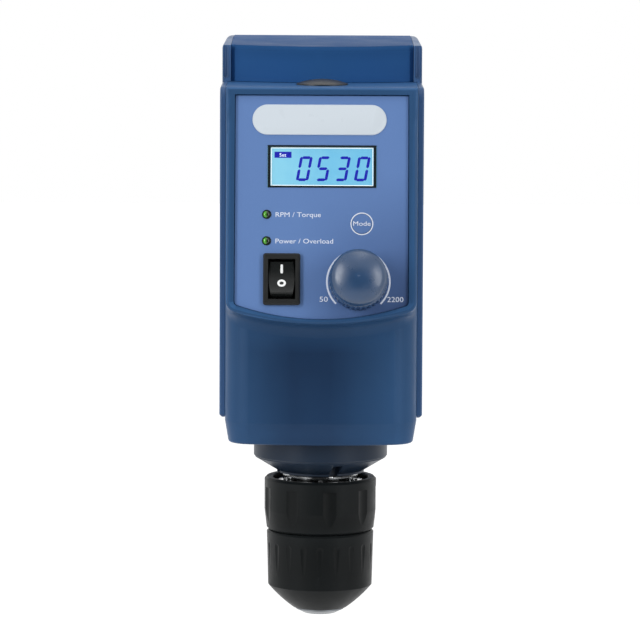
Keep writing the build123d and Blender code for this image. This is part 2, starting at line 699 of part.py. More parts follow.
def speed_knob():
    """The domed knob with a ribbed skirt, hollow under its dome."""
    top = KNOB_HEIGHT
    solid = turned([
        (0, KNOB_GAP),
        (KNOB_R, KNOB_GAP),
        (KNOB_R, KNOB_SKIRT_HEIGHT),
        (KNOB_R - 0.4, KNOB_SKIRT_HEIGHT + 0.8),
        (KNOB_R - 0.4, top),
        (0, top),
    ])
    solid &= Pos(0, 0, top - KNOB_CROWN_R) * Sphere(KNOB_CROWN_R)
    brims = [edge for edge in solid.edges() if edge.geom_type == GeomType.CIRCLE]
    brims = [edge for edge in brims if edge.center().Z > KNOB_SKIRT_HEIGHT + 2]
    solid = fillet(min(brims, key=lambda edge: edge.center().Z), KNOB_SHOULDER_R)
    rib_r = 0.75
    groove = Pos(KNOB_R + rib_r - KNOB_RIB_DEPTH, 0, 0) * cylinder(rib_r, 0, KNOB_SKIRT_HEIGHT + 0.3)
    solid -= around(KNOB_RIBS, groove)
    solid -= tube(KNOB_R - KNOB_WALL, KNOB_HUB_R, -1, top - 5.0)
    solid -= cylinder(POT_SHAFT_R + SEAT, -1, top - 4.8)
    solid -= cylinder(POT_NUT_FLATS / 2 + 2.0, -1, POT_NUT_THICK + 1.4)
    return on_panel(KNOB_AT, solid)


def pot_shaft():
    """The shaft that the knob turns."""
    shaft = cylinder(POT_SHAFT_R, -POT_TOP + 0.6, KNOB_HEIGHT - 5.0)
    wiper = cylinder(POT_R - 2.0, -POT_TOP - POT_DEPTH + 2.0, -POT_TOP - 2.4)
    neck = cylinder(POT_SHAFT_R, -POT_TOP - POT_DEPTH + 2.0, -POT_TOP + 1.0)
    flat = block((POT_SHAFT_R - 0.9, 9), (-9, 9), (KNOB_HEIGHT - 12.0, KNOB_HEIGHT))
    return on_panel(KNOB_AT, shaft + wiper + neck - flat)


def pot_body():
    """The speed control's case with its threaded bush."""
    case = cylinder(POT_R, -POT_TOP - POT_DEPTH, -POT_TOP)
    case -= cylinder(POT_R - 1.4, -POT_TOP - POT_DEPTH + 1.4, -POT_TOP - 1.6)
    bush = cylinder(POT_BUSH_R, -POT_TOP - 0.5, POT_NUT_THICK + 0.6)
    lugs = [Pos(x, -POT_R - 0.2, -POT_TOP - 4.0) * Box(1.2, 6, 0.8) for x in (-4, 0, 4)]
    solid = case + bush - cylinder(POT_SHAFT_R + SHAFT_GAP, -POT_TOP - 3, 9)
    return on_panel(KNOB_AT, solid + lugs - cylinder(POT_R - 1.4, -POT_TOP - POT_DEPTH + 1.4, -POT_TOP - 1.6))


def pot_nut():
    """The nut that holds the speed control in the panel."""
    nut = hexagon(POT_NUT_FLATS, 0, POT_NUT_THICK) - cylinder(POT_BUSH_R + SEAT, -1, 9)
    return on_panel(KNOB_AT, nut)


def control_board():
    """The board behind the panel, under the display."""
    low, high = BOARD_DOWN
    board = PANEL * Pos(0, -(low + high) / 2, BOARD_FACE - 1.6) * extrude(
        Rectangle(2 * BOARD_HALF, high - low), 1.6
    )
    for x in (-BOARD_SCREW_X, BOARD_SCREW_X):
        for down in BOARD_SCREW_DOWN:
            board -= on_panel((x, down), cylinder(SCREW_R + SEAT, BOARD_FACE - 5, BOARD_FACE + 5))
    return board


def board_parts():
    """The key's push switch on the control board, and the chips, connector and capacitors on its back."""
    push_switch = Pos(0, 0, BOARD_FACE) * extrude(Rectangle(6, 6), 1.6)
    push_switch -= cylinder(KEY_STEM_R + RUNNING, BOARD_FACE + 0.6, BOARD_FACE + 5)
    back = BOARD_FACE - 1.6
    parts = [
        on_panel(KEY_AT, push_switch),
        on_panel((-8, KEY_AT[1] + 1.6), Pos(0, 0, back - 1.4) * extrude(Rectangle(10, 10), 1.4)),
        on_panel((14, BOARD_DOWN[0] + 4), Pos(0, 0, back - 1.8) * extrude(Rectangle(9, 5), 1.8)),
        on_panel((12, BOARD_DOWN[1] - 2), Pos(0, 0, back - 6.0) * extrude(Rectangle(16, 5), 6.0)),
    ]
    capacitor = cylinder(2.1, back - 5.5, back)
    parts += [on_panel((x, BOARD_DOWN[0] + 3.5), capacitor) for x in (-20.0, -14.0, -4.0)]
    return group(parts)


def screw(head_r, head, shank_r, length):
    """A pan-head screw up the Z axis, its head below zero."""
    solid = cylinder(head_r, -head, 0) + cylinder(shank_r, -0.2, length)
    slot = Box(head_r * 1.3, 0.7, 1.4) + Box(0.7, head_r * 1.3, 1.4)
    return solid - Pos(0, 0, -head) * slot


def board_screws():
    """The screws that hold the control board to its posts."""
    return [
        on_panel((x, down), Pos(0, 0, BOARD_FACE - 1.6) * screw(SCREW_HEAD_R, SCREW_HEAD, SCREW_R, 4.6))
        for x in (-BOARD_SCREW_X, BOARD_SCREW_X)
        for down in BOARD_SCREW_DOWN
    ]


# ---------------------------------------------------------------- spindle and its bearings

def spindle_cartridge():
    """The bearing housing: a collar under the floor, a pilot through it and a tube up to the upper seat."""
    top_seat = UPPER_BEARING_Z - 2.0
    lower_shoulder = LOWER_BEARING_Z + BEARING_WIDTH
    solid = turned([
        (0, COLLAR_FOOT_Z),
        (COLLAR_R - COLLAR_EDGE, COLLAR_FOOT_Z),
        (COLLAR_R, COLLAR_FOOT_Z + COLLAR_EDGE),
        (COLLAR_R, FLOOR_Z),
        (PILOT_R, FLOOR_Z),
        (PILOT_R, PILOT_TOP_Z),
        (CARTRIDGE_TUBE_R, PILOT_TOP_Z + 3.0),
        (CARTRIDGE_TUBE_R, top_seat - 4.0),
        (CARTRIDGE_SEAT_R, top_seat),
        (CARTRIDGE_SEAT_R, CARTRIDGE_TOP_Z),
        (0, CARTRIDGE_TOP_Z),
    ])
    groove = UPPER_BEARING_Z + BEARING_WIDTH
    solid -= cylinder(CARTRIDGE_BORE_R, 0, FAR)
    solid -= cylinder(BEARING_R + SEAT, 0, lower_shoulder)
    solid -= cylinder(BEARING_R + SEAT, UPPER_BEARING_Z, FAR)
    solid -= cylinder(CIRCLIP_R + SEAT, groove, groove + CIRCLIP_THICK)
    for hole in around(4, Pos(COLLAR_SCREW_R, 0, 0) * cylinder(SCREW_R + SEAT, FLOOR_Z - 5, FLOOR_Z + 5), 45):
        solid -= hole
    return solid


def nose_ring():
    """The tapered ring under the collar, which holds the lower bearing and the seal."""
    seat = NOSE_FOOT_Z + 1.4
    solid = turned([
        (NOSE_FOOT_R, NOSE_FOOT_Z),
        (NOSE_FOOT_R, NOSE_FOOT_Z + NOSE_LIP),
        (NOSE_SHOULDER_R, COLLAR_FOOT_Z - 0.5),
        (NOSE_SHOULDER_R, COLLAR_FOOT_Z),
        (BEARING_R - 0.1, COLLAR_FOOT_Z),
        (BEARING_R - 0.1, LOWER_BEARING_Z),
        (SEAL_R + SEAT, LOWER_BEARING_Z),
        (SEAL_R + SEAT, seat),
        (SPINDLE_R + 2.5, seat),
        (SPINDLE_R + 2.5, NOSE_FOOT_Z),
    ])
    half = NOSE_NOTCH_WIDTH / 2
    notch = block(
        (-half, half),
        (-FAR, -NOSE_FOOT_R + NOSE_NOTCH_DEPTH),
        (NOSE_FOOT_Z - 1, NOSE_FOOT_Z + NOSE_NOTCH_HEIGHT),
    )
    return solid - around(4, notch, NOSE_NOTCH_START_DEG)


def shaft_seal():
    """The lip seal round the spindle."""
    foot = NOSE_FOOT_Z + 1.4
    inner = SPINDLE_R + SHAFT_GAP
    top = foot + SEAL_HEIGHT
    return turned([
        (inner, foot + 1.6), (inner + 0.9, foot), (SEAL_R, foot), (SEAL_R, top), (SEAL_R - 1.4, top),
        (SEAL_R - 1.4, foot + 1.4), (inner + 2.0, foot + 1.4), (inner + 1.2, foot + 3.2), (inner, foot + 2.4),
    ])


def bearing_outer(foot):
    """A bearing's outer ring with its ball groove."""
    ring = tube(BEARING_R, BEARING_R - BEARING_RING, foot, foot + BEARING_WIDTH)
    return ring - Pos(0, 0, foot + BEARING_WIDTH / 2) * Torus(BEARING_PITCH_R, BALL_R + CAGE_GAP)


def bearing_inner(foot):
    """A bearing's inner ring with its ball groove."""
    ring = tube(SPINDLE_R + BEARING_RING, SPINDLE_R + SEAT, foot, foot + BEARING_WIDTH)
    return ring - Pos(0, 0, foot + BEARING_WIDTH / 2) * Torus(BEARING_PITCH_R, BALL_R + CAGE_GAP)


def ball_cage(foot):
    """The balls and the flat cage that spaces them."""
    middle = Pos(0, 0, foot + BEARING_WIDTH / 2)
    half = (BEARING_R - SPINDLE_R) / 2 - BEARING_RING - CAGE_GAP
    cage = middle * tube(BEARING_PITCH_R + half, BEARING_PITCH_R - half, -1.0, 1.0)
    for ball in around(BALL_COUNT, Pos(BEARING_PITCH_R, 0, 0) * Sphere(BALL_R)):
        cage += middle * ball
    return cage


def circlip():
    """The open ring that holds the upper bearing in its seat."""
    foot = UPPER_BEARING_Z + BEARING_WIDTH
    ring = tube(CIRCLIP_R, CIRCLIP_R - 2.6, foot, foot + CIRCLIP_THICK)
    return ring - Pos(CIRCLIP_R, 0, foot) * Box(8, 5, 9)


def collar_screws():
    """The screws that hold the spindle cartridge under the floor."""
    inside = FLOOR_Z + FLOOR_THICK
    down = Rot(180, 0, 0) * screw(SCREW_HEAD_R, SCREW_HEAD, SCREW_R, FLOOR_THICK + 4.5)
    return around(4, Pos(COLLAR_SCREW_R, 0, inside) * down, 45)


def hollow_spindle():
    """The hollow spindle, with a shoulder between its bearings and open from end to end."""
    low = LOWER_BEARING_Z + BEARING_WIDTH
    solid = turned([
        (SPINDLE_BORE_R, SPINDLE_SOCKET_Z),
        (SPINDLE_R - 0.5, SPINDLE_SOCKET_Z),
        (SPINDLE_R, SPINDLE_SOCKET_Z + 0.5),
        (SPINDLE_R, low),
        (SPINDLE_SHOULDER_R, low),
        (SPINDLE_SHOULDER_R, UPPER_BEARING_Z),
        (SPINDLE_R, UPPER_BEARING_Z),
        (SPINDLE_R, SPINDLE_TOP_Z - 0.6),
        (SPINDLE_R - 0.6, SPINDLE_TOP_Z),
        (SPINDLE_BORE_R + 0.6, SPINDLE_TOP_Z),
        (SPINDLE_BORE_R, SPINDLE_TOP_Z - 0.6),
    ])
    return solid


# ---------------------------------------------------------------- belt drive and motor

def pulley(rib_r, bore_r, hub_r):
    """A ribbed pulley with low flanges and a hub below it, its foot at zero."""
    flange_r = rib_r + 1.1
    root = rib_r - RIB_DEPTH
    points = [(bore_r, -3.0), (hub_r, -3.0), (hub_r, 0), (flange_r, 0), (flange_r, PULLEY_FLANGE - 0.3)]
    for index in range(PULLEY_RIBS):
        foot = PULLEY_FLANGE + index * RIB_PITCH
        crest = foot + RIB_PITCH / 2
        points += [(root, foot + 0.35), (rib_r, crest - 0.25), (rib_r, crest + 0.25)]
    points += [(root, PULLEY_HEIGHT - PULLEY_FLANGE - 0.35), (flange_r, PULLEY_HEIGHT - PULLEY_FLANGE + 0.3)]
    points += [(flange_r, PULLEY_HEIGHT), (bore_r, PULLEY_HEIGHT)]
    return turned(points)


def spindle_pulley():
    """The large pulley on the spindle."""
    return Pos(0, 0, PULLEY_FOOT_Z) * pulley(SPINDLE_PULLEY_R, SPINDLE_R + SEAT, SPINDLE_R + 3.2)


def motor_pulley():
    """The small pulley on the motor shaft."""
    return Pos(0, MOTOR_Y, PULLEY_FOOT_Z) * pulley(MOTOR_PULLEY_R, MOTOR_SHAFT_R + SEAT, MOTOR_PULLEY_R - 2.4)


def belt_loop(offset, height):
    """A loop round both pulleys at an offset from their ribs."""
    big = SPINDLE_PULLEY_R + offset
    small = MOTOR_PULLEY_R + offset
    lean = asin((big - small) / MOTOR_Y)
    corners = [
        (big * cos(lean), big * sin(lean)), (small * cos(lean), MOTOR_Y + small * sin(lean)),
        (-small * cos(lean), MOTOR_Y + small * sin(lean)), (-big * cos(lean), big * sin(lean)),
    ]
    web = make_face(Polyline(corners, close=True))
    plan = web + Circle(big) + Pos(0, MOTOR_Y) * Circle(small)
    return extrude(plan, height)


def drive_belt():
    """The flat-backed belt round the two pulleys."""
    height = PULLEY_RIBS * RIB_PITCH - 1.0
    foot = PULLEY_FOOT_Z + PULLEY_FLANGE + 0.5
    return Pos(0, 0, foot) * (belt_loop(BELT_GAP + BELT_BACK, height) - belt_loop(BELT_GAP, height))


def motor_case():
    """The motor's drawn case, open at the top under its end plate."""
    solid = cylinder(MOTOR_R, MOTOR_FOOT_Z, MOTOR_TOP_Z - MOTOR_PLATE)
    solid = fillet(solid.edges().group_by(Axis.Z)[0], 2.0)
    solid -= cylinder(MOTOR_R - MOTOR_WALL, MOTOR_FOOT_Z + 2.0, MOTOR_TOP_Z)
    solid -= tube(8.0, 5.0, MOTOR_FOOT_Z + 1.0, MOTOR_FOOT_Z + 2.5)
    solid -= cylinder(MOTOR_SHAFT_R + SHAFT_GAP, MOTOR_FOOT_Z - 1, MOTOR_FOOT_Z + 5)
    return Pos(0, MOTOR_Y, 0) * solid


def motor_plate():
    """The motor's end plate, with the shaft's bearing in it."""
    foot = MOTOR_TOP_Z - MOTOR_PLATE
    solid = cylinder(MOTOR_R, foot, MOTOR_TOP_Z) + cylinder(8.0, foot - 4.0, foot)
    solid -= cylinder(MOTOR_SHAFT_R + SHAFT_GAP, foot - 9, MOTOR_TOP_Z + 1)
    for hole in around(4, Pos(MOTOR_SCREW_R, 0, 0) * cylinder(SCREW_R + SEAT, foot - 1, MOTOR_TOP_Z + 1), 45):
        solid -= hole
    return Pos(0, MOTOR_Y, 0) * solid


def motor_stator():
    """The slotted iron core in the case."""
    foot = STATOR_FOOT_Z
    solid = tube(MOTOR_R - MOTOR_WALL - SEAT, STATOR_BORE_R, foot, foot + STATOR_LENGTH)
    slot = Pos(17.6, 0, foot - 1) * extrude(Rectangle(4.4, 5.2), STATOR_LENGTH + 2)
    mouth = Pos(15.0, 0, foot - 1) * extrude(Rectangle(3.0, 1.6), STATOR_LENGTH + 2)
    solid -= around(STATOR_SLOTS, slot)
    solid -= around(STATOR_SLOTS, mouth)
    return Pos(0, MOTOR_Y, 0) * solid


def motor_windings():
    """The copper in the slots and its end turns above and below the core."""
    foot = STATOR_FOOT_Z
    wires = Pos(17.6, 0, foot - 1.0) * extrude(Rectangle(3.9, 4.6), STATOR_LENGTH + 2)
    solid = tube(20.4, 15.6, foot - 5.0, foot - 0.6) + tube(20.4, 15.6, foot + STATOR_LENGTH + 0.6,
                                                           foot + STATOR_LENGTH + 5.0)
    for wire in around(STATOR_SLOTS, wires):
        solid += wire
    return Pos(0, MOTOR_Y, 0) * solid


def motor_shaft():
    """The motor's shaft."""
    top = PULLEY_FOOT_Z + PULLEY_HEIGHT + 0.8
    return Pos(0, MOTOR_Y, 0) * cylinder(MOTOR_SHAFT_R, MOTOR_FOOT_Z + 0.6, top)


def motor_rotor():
    """The magnet rotor on the shaft."""
    foot = STATOR_FOOT_Z - 1.0
    return Pos(0, MOTOR_Y, 0) * tube(ROTOR_R, MOTOR_SHAFT_R + SEAT, foot, foot + STATOR_LENGTH + 2.0)


def motor_screws():
    """The screws through the shelf into the motor's end plate."""
    top = SHELF_Z + CHASSIS_PLATE
    down = Rot(180, 0, 0) * screw(SCREW_HEAD_R, SCREW_HEAD, SCREW_R, CHASSIS_PLATE + 3.4)
    return [Pos(0, MOTOR_Y, 0) * shape for shape in around(4, Pos(MOTOR_SCREW_R, 0, top) * down, 45)]


# ---------------------------------------------------------------- chassis, rod and rear fittings

def chassis():
    """The steel chassis: two legs, a back with four pillars, and a shelf forked round the cartridge."""
    half = CHASSIS_HALF
    floor = FLOOR_Z + FLOOR_THICK
    top = SHELF_Z + CHASSIS_PLATE
    back = CHASSIS_BACK_Y - CHASSIS_PLATE
    solid = block((-half, half), (FORK_FRONT_Y, CHASSIS_BACK_Y), (SHELF_Z, top))
    solid += block((-half, half), (back, CHASSIS_BACK_Y), (CHASSIS_BACK_Z, SHELF_Z))
    leg = block((half - CHASSIS_PLATE, half), (CHASSIS_LEG_Y, CHASSIS_BACK_Y), (floor, SHELF_Z))
    window = Pos(half, (CHASSIS_LEG_Y + back) / 2, VENT_Z) * Rot(0, 90, 0) * extrude(
        RectangleRounded(VENT_HEIGHT + 8, 34, 5), 20, both=True
    )
    foot = block((half - 14, half), (CHASSIS_LEG_Y, CHASSIS_BACK_Y), (floor, floor + CHASSIS_PLATE))
    leg = leg - window + foot
    solid += leg + mirror(leg, about=Plane.YZ)
    solid -= cylinder(CARTRIDGE_SEAT_R + SEAT, SHELF_Z - 1, top + 1)
    motor = Pos(0, MOTOR_Y, 0)
    solid -= motor * cylinder(MOTOR_SHAFT_R + 3.0, SHELF_Z - 1, top + 1)
    for hole in around(4, Pos(MOTOR_SCREW_R, 0, 0) * cylinder(SCREW_R + SEAT, SHELF_Z - 1, top + 1), 45):
        solid -= motor * hole
    rear = COVER_REAR_Y - COVER_WALL
    for side in (-1, 1):
        for x, z in PILLAR_AT:
            pillar = cylinder(PILLAR_R, CHASSIS_BACK_Y - 0.5, rear)
            pillar -= cylinder(SCREW_R + SEAT, rear - 6, rear + 1)
            solid += Pos(side * x, 0, z) * backwards(pillar)
        for x, y in FOOT_SCREWS_AT:
            solid -= Pos(side * x, y) * cylinder(BASE_SCREW_R + SEAT, floor - 1, floor + 20)
    return solid - Pos(0, 0, ROD_Z) * backwards(cylinder(ROD_THREAD_R + SEAT, back - 1, CHASSIS_BACK_Y + 1))


def chassis_screws():
    """The screws up through the floor into the chassis."""
    one = Pos(0, 0, FLOOR_Z) * screw(BASE_SCREW_HEAD_R, 2.0, BASE_SCREW_R, FLOOR_THICK + CHASSIS_PLATE)
    return group([Pos(side * x, y) * one for side in (-1, 1) for x, y in FOOT_SCREWS_AT])


def cover_screws():
    """The screws through the cover's back into the pillars and the hood."""
    one = Pos(0, COVER_REAR_Y, 0) * Rot(90, 0, 0) * screw(SCREW_HEAD_R, SCREW_HEAD, SCREW_R, COVER_WALL + 4.6)
    return group([Pos(side * x, 0, z) * one for side in (-1, 1) for x, z in PILLAR_AT + (HOOD_SCREW_AT,)])


def support_rod():
    """The plain rod that holds the whole instrument, with a stud at its inner end."""
    stud_end = CHASSIS_BACK_Y - CHASSIS_PLATE - ROD_NUT_THICK - 0.4
    rod = cylinder(ROD_R, BOSS_END_Y + 0.4, ROD_END_Y)
    rod = chamfer(rod.edges().group_by(Axis.Z)[-1], 0.8)
    rod += cylinder(ROD_NECK_R, CHASSIS_BACK_Y, BOSS_END_Y + 0.4)
    return Pos(0, 0, ROD_Z) * backwards(rod + cylinder(ROD_THREAD_R, stud_end, CHASSIS_BACK_Y))


def rod_boss():
    """The steel collar round the rod where it leaves the cover."""
    boss = tube(ROD_BOSS_R, ROD_NECK_R + SEAT, CHASSIS_BACK_Y, BOSS_END_Y)
    outer = boss.edges().group_by(Axis.Z)[-1].sort_by(lambda edge: edge.length)[-1:]
    return Pos(0, 0, ROD_Z) * backwards(chamfer(outer, 0.6))


def rod_nut():
    """The nut on the rod's stud inside the chassis."""
    inner = CHASSIS_BACK_Y - CHASSIS_PLATE
    nut = hexagon(ROD_NUT_FLATS, inner - ROD_NUT_THICK, inner)
    nut -= cylinder(ROD_THREAD_R + SEAT, inner - 20, inner + 1)
    return Pos(0, 0, ROD_Z) * backwards(nut)


def power_inlet():
    """The mains inlet: a flange, a socket and the fuse drawer's opening."""
    width, height = INLET_FLANGE
    flange = Pos(0, COVER_REAR_Y + INLET_FLANGE_THICK / 2, 0) * Box(width, INLET_FLANGE_THICK, height)
    flange = fillet(flange.edges().filter_by(Axis.Y), 2.5)
    front = COVER_REAR_Y + INLET_FLANGE_THICK - INLET_DEPTH - 3.0
    body = block((-INLET_BODY[0] / 2, INLET_BODY[0] / 2), (front, COVER_REAR_Y),
                 (-INLET_BODY[1] / 2, INLET_BODY[1] / 2))
    socket = block((-SOCKET_SIZE[0] / 2, SOCKET_SIZE[0] / 2), (SOCKET_FLOOR_Y, COVER_REAR_Y + 9),
                   (-SOCKET_SIZE[1] / 2, SOCKET_SIZE[1] / 2))
    lower = socket.edges().filter_by(Axis.Y).group_by(Axis.Z)[0]
    socket = chamfer(lower, 4.5)
    drawer = block((-DRAWER_SIZE[0] / 2 - RUNNING, DRAWER_SIZE[0] / 2 + RUNNING),
                   (DRAWER_FLOOR_Y - RUNNING, COVER_REAR_Y + 9),
                   (-DRAWER_SIZE[1] / 2 - RUNNING, DRAWER_SIZE[1] / 2 + RUNNING))
    solid = flange + body - Pos(0, 0, SOCKET_RISE) * socket - Pos(0, 0, -DRAWER_DROP) * drawer
    for x, z in PIN_AT:
        slot = Box(2.0 + 2 * SEAT, 2 * (INLET_DEPTH + SOCKET_DEPTH), 4.0 + 2 * SEAT)
        slot &= block((-FAR, FAR), (-FAR, SOCKET_FLOOR_Y + 1 - front), (-FAR, FAR))
        solid -= Pos(x, front, SOCKET_RISE + z) * slot
    return Pos(0, 0, INLET_Z) * solid


def inlet_pins():
    """The three flat pins of the inlet, which go through to tags behind it."""
    front = COVER_REAR_Y + INLET_FLANGE_THICK - INLET_DEPTH - 3.0
    pins = [
        block((x - 1.0, x + 1.0), (front - 4.0, SOCKET_FLOOR_Y + 10.5), (z - 2.0, z + 2.0))
        for x, z in PIN_AT
    ]
    return Pos(0, 0, INLET_Z + SOCKET_RISE) * group(pins)


def fuse_drawer():
    """The fuse drawer under the socket, with a finger notch."""
    face = COVER_REAR_Y + INLET_FLANGE_THICK
    drawer = block((-DRAWER_SIZE[0] / 2, DRAWER_SIZE[0] / 2), (DRAWER_FLOOR_Y, face + 0.5),
                   (-DRAWER_SIZE[1] / 2, DRAWER_SIZE[1] / 2))
    well = Box(DRAWER_SIZE[0] - 3, DRAWER_DEPTH - 5, DRAWER_SIZE[1])
    drawer -= Pos(0, (DRAWER_FLOOR_Y + face) / 2 - 1.5, 2.4) * well
    drawer -= Pos(0, face + 1.0, -DRAWER_SIZE[1] / 2) * Box(8, 2.4, 2.2)
    return Pos(0, 0, INLET_Z - DRAWER_DROP) * drawer


def power_board():
    """The power board on the floor, on four stand-offs."""
    floor = FLOOR_Z + FLOOR_THICK
    (x_low, x_high), (y_low, y_high) = POWER_BOARD_AREA
    solid = block((x_low, x_high), (y_low, y_high), (floor + 5, floor + 6.6))
    for x in (x_low + 3, x_high - 3):
        for y in (y_low + 3, y_high - 3):
            solid += Pos(x, y) * cylinder(2.4, floor, floor + 5.4)
    return solid


def power_parts():
    """The capacitors, choke, relay, terminals and heat sink on the power board."""
    base = FLOOR_Z + FLOOR_THICK + 6.6
    left, right = POWER_BOARD_AREA[0]
    parts = [Pos(x, 40) * cylinder(6.4, base, base + 19) for x in (left + 10.0, left + 24.5)]
    parts += [Pos(0, 55) * Rot(90, 0, 0) * Pos(0, base + 8.4, 0) * (Cylinder(8.4, 9) - Cylinder(3.4, 12))]
    parts.append(block((left + 3, left + 18), (63, 75), (base, base + 12)))
    parts.append(block((left + 22, right - 3.5), (64, 74), (base, base + 9)))
    sink = block((right - 5.5, right - 2.5), (33, 47), (base, base + 20))
    for index in range(5):
        y = 33 + 2.9 * index
        sink += block((right - 6.5, right - 0.5), (y, y + 1.4), (base, base + 20))
    return group(parts + [sink])


# ---------------------------------------------------------------- keyless chuck

def jaw_axis_radius(height):
    """How far a jaw's axis is from the chuck's axis at a height."""
    return JAW_AXIS_BASE + height * tan(JAW_TILT)


def along_jaw(height, shape):
    """Tips a piece built up the Z axis onto a jaw's axis, its origin at a height on it."""
    return Pos(jaw_axis_radius(height), 0, height) * Rot(0, JAW_TILT_DEG, 0) * shape


def chuck_body():
    """The turned steel body, with the inclined jaw bores and the spindle's socket."""
    waist_low = NUT_Z - 4.0
    cone_low = nut_cone(NUT_Z) - 2 * JAW_GAP - 0.1
    cone_high = nut_cone(NUT_Z + NUT_HEIGHT) - 2 * JAW_GAP - 0.1
    flange_foot = NUT_Z + NUT_HEIGHT + THRUST_HEIGHT
    solid = turned([
        (0, 0), (CHUCK_TIP_R, 0), (CHUCK_NOSE_R, CHUCK_NOSE_Z), (CHUCK_NOSE_R, waist_low), (cone_low, NUT_Z),
        (cone_high, flange_foot - THRUST_HEIGHT), (cone_high, flange_foot), (CHUCK_NECK_R, flange_foot),
        (CHUCK_NECK_R, LOCK_RING_Z), (0, LOCK_RING_Z),
    ])
    solid -= cylinder(SPINDLE_BORE_R, -1, 99)
    solid -= cylinder(SPINDLE_R + SEAT, SPINDLE_SOCKET_Z, 99)
    solid -= turned([
        (0, -1),
        (SPINDLE_BORE_R + 2.0, -1),
        (SPINDLE_BORE_R + 1.0, 0),
        (SPINDLE_BORE_R, 1.2),
        (0, 1.2),
    ])
    bore = along_jaw(0, cylinder(JAW_R + JAW_GAP, -6, JAW_BORE_TOP))
    return solid - around(3, bore, JAW_START_DEG)


def nut_cone(height):
    """The radius of the nut's inner cone: just clear of the jaws' outer edges."""
    return jaw_axis_radius(height) + JAW_R / cos(JAW_TILT) + JAW_GAP


def chuck_jaw():
    """One inclined jaw, its tip cut to a wedge with a gripping arc, its back toothed."""
    tip = JAW_REST_TIP_Z
    solid = along_jaw(tip, cylinder(JAW_R, -6, JAW_LENGTH))
    solid -= block((-40, 40), (-40, 40), (tip - 40, tip))
    half_arc = radians(GRIP_ARC_DEG / 2)
    apex = GRIP_R * (cos(half_arc) - sin(half_arc) / tan(radians(60)))
    edge = 40.0
    wedge = make_face(Polyline([(apex, 0), (apex + edge, edge * tan(radians(60))),
                                (apex + edge, -edge * tan(radians(60)))], close=True))
    solid &= extrude(wedge, 90)
    solid -= cylinder(GRIP_R, -1, 90)
    for index in range(JAW_TEETH):
        tooth = Pos(JAW_R + 1.6, 0, JAW_LENGTH - 2.4 - index * JAW_TOOTH_PITCH) * Box(
            2 * (1.6 + JAW_TOOTH_DEPTH), 9, JAW_TOOTH_PITCH * 0.45
        )
        solid -= along_jaw(tip, tooth)
    return solid


def scroll_nut():
    """The nut in the front sleeve whose thread drives the jaws' toothed backs."""
    top = NUT_Z + NUT_HEIGHT
    outer = SLEEVE_CAVITY_R - SEAT / 2
    points = [(outer, NUT_Z), (outer, top), (nut_cone(top), top)]
    for index in reversed(range(3)):
        foot = NUT_Z + 0.6 + 2.0 * index
        points += [
            (nut_cone(foot + 1.2), foot + 1.2), (nut_cone(foot + 1.2) + 0.7, foot + 1.1),
            (nut_cone(foot + 0.2) + 0.7, foot + 0.3), (nut_cone(foot + 0.2), foot + 0.2),
        ]
    points += [(nut_cone(NUT_Z), NUT_Z)]
    return turned(points)


def thrust_ring():
    """The low-friction washer between the nut and the body's flange."""
    foot = NUT_Z + NUT_HEIGHT
    inner = nut_cone(foot + THRUST_HEIGHT) + RUNNING
    return tube(CHUCK_NECK_R + 1.4, inner, foot, foot + THRUST_HEIGHT - SHAFT_GAP)


def front_sleeve():
    """The front sleeve that is turned by hand, softly fluted, rounding in to its nose."""
    nose_r = CHUCK_NOSE_R + RUNNING
    chest = nut_cone(NUT_Z) + 0.8
    shoulder = (FRONT_SLEEVE_R - 0.6, 0, FRONT_SLEEVE_SHOULDER_Z)
    mouth = (FRONT_SLEEVE_TIP_R, 0, FRONT_SLEEVE_TIP_Z)
    belly = ((shoulder[0] + mouth[0]) / 2 + 0.35, 0, (shoulder[2] + mouth[2]) / 2 - 0.3)
    points = [
        shoulder[::2],
        (FRONT_SLEEVE_R, SLEEVE_SPLIT_Z - 0.8),
        (FRONT_SLEEVE_R - 0.8, SLEEVE_SPLIT_Z),
        (SLEEVE_CAVITY_R, SLEEVE_SPLIT_Z),
        (SLEEVE_CAVITY_R, NUT_Z),
        (chest, NUT_Z),
        (chest, NUT_Z - 8.0),
        (nose_r, NUT_Z - 10.5),
        (nose_r, FRONT_SLEEVE_TIP_Z),
        mouth[::2],
    ]
    inside = Polyline([(r, 0, z) for r, z in points])
    solid = revolve(make_face(inside + ThreePointArc(mouth, belly, shoulder)), axis=Axis.Z)
    low = FRONT_SLEEVE_SHOULDER_Z - 3.0
    high = SLEEVE_SPLIT_Z - 6.0
    flute = cylinder(FLUTE_R, low, high) + Pos(0, 0, high) * Sphere(FLUTE_R)
    place = Pos(FRONT_SLEEVE_R + FLUTE_R - FLUTE_DEPTH, 0, 0)
    return solid - around(FRONT_FLUTES, place * flute)


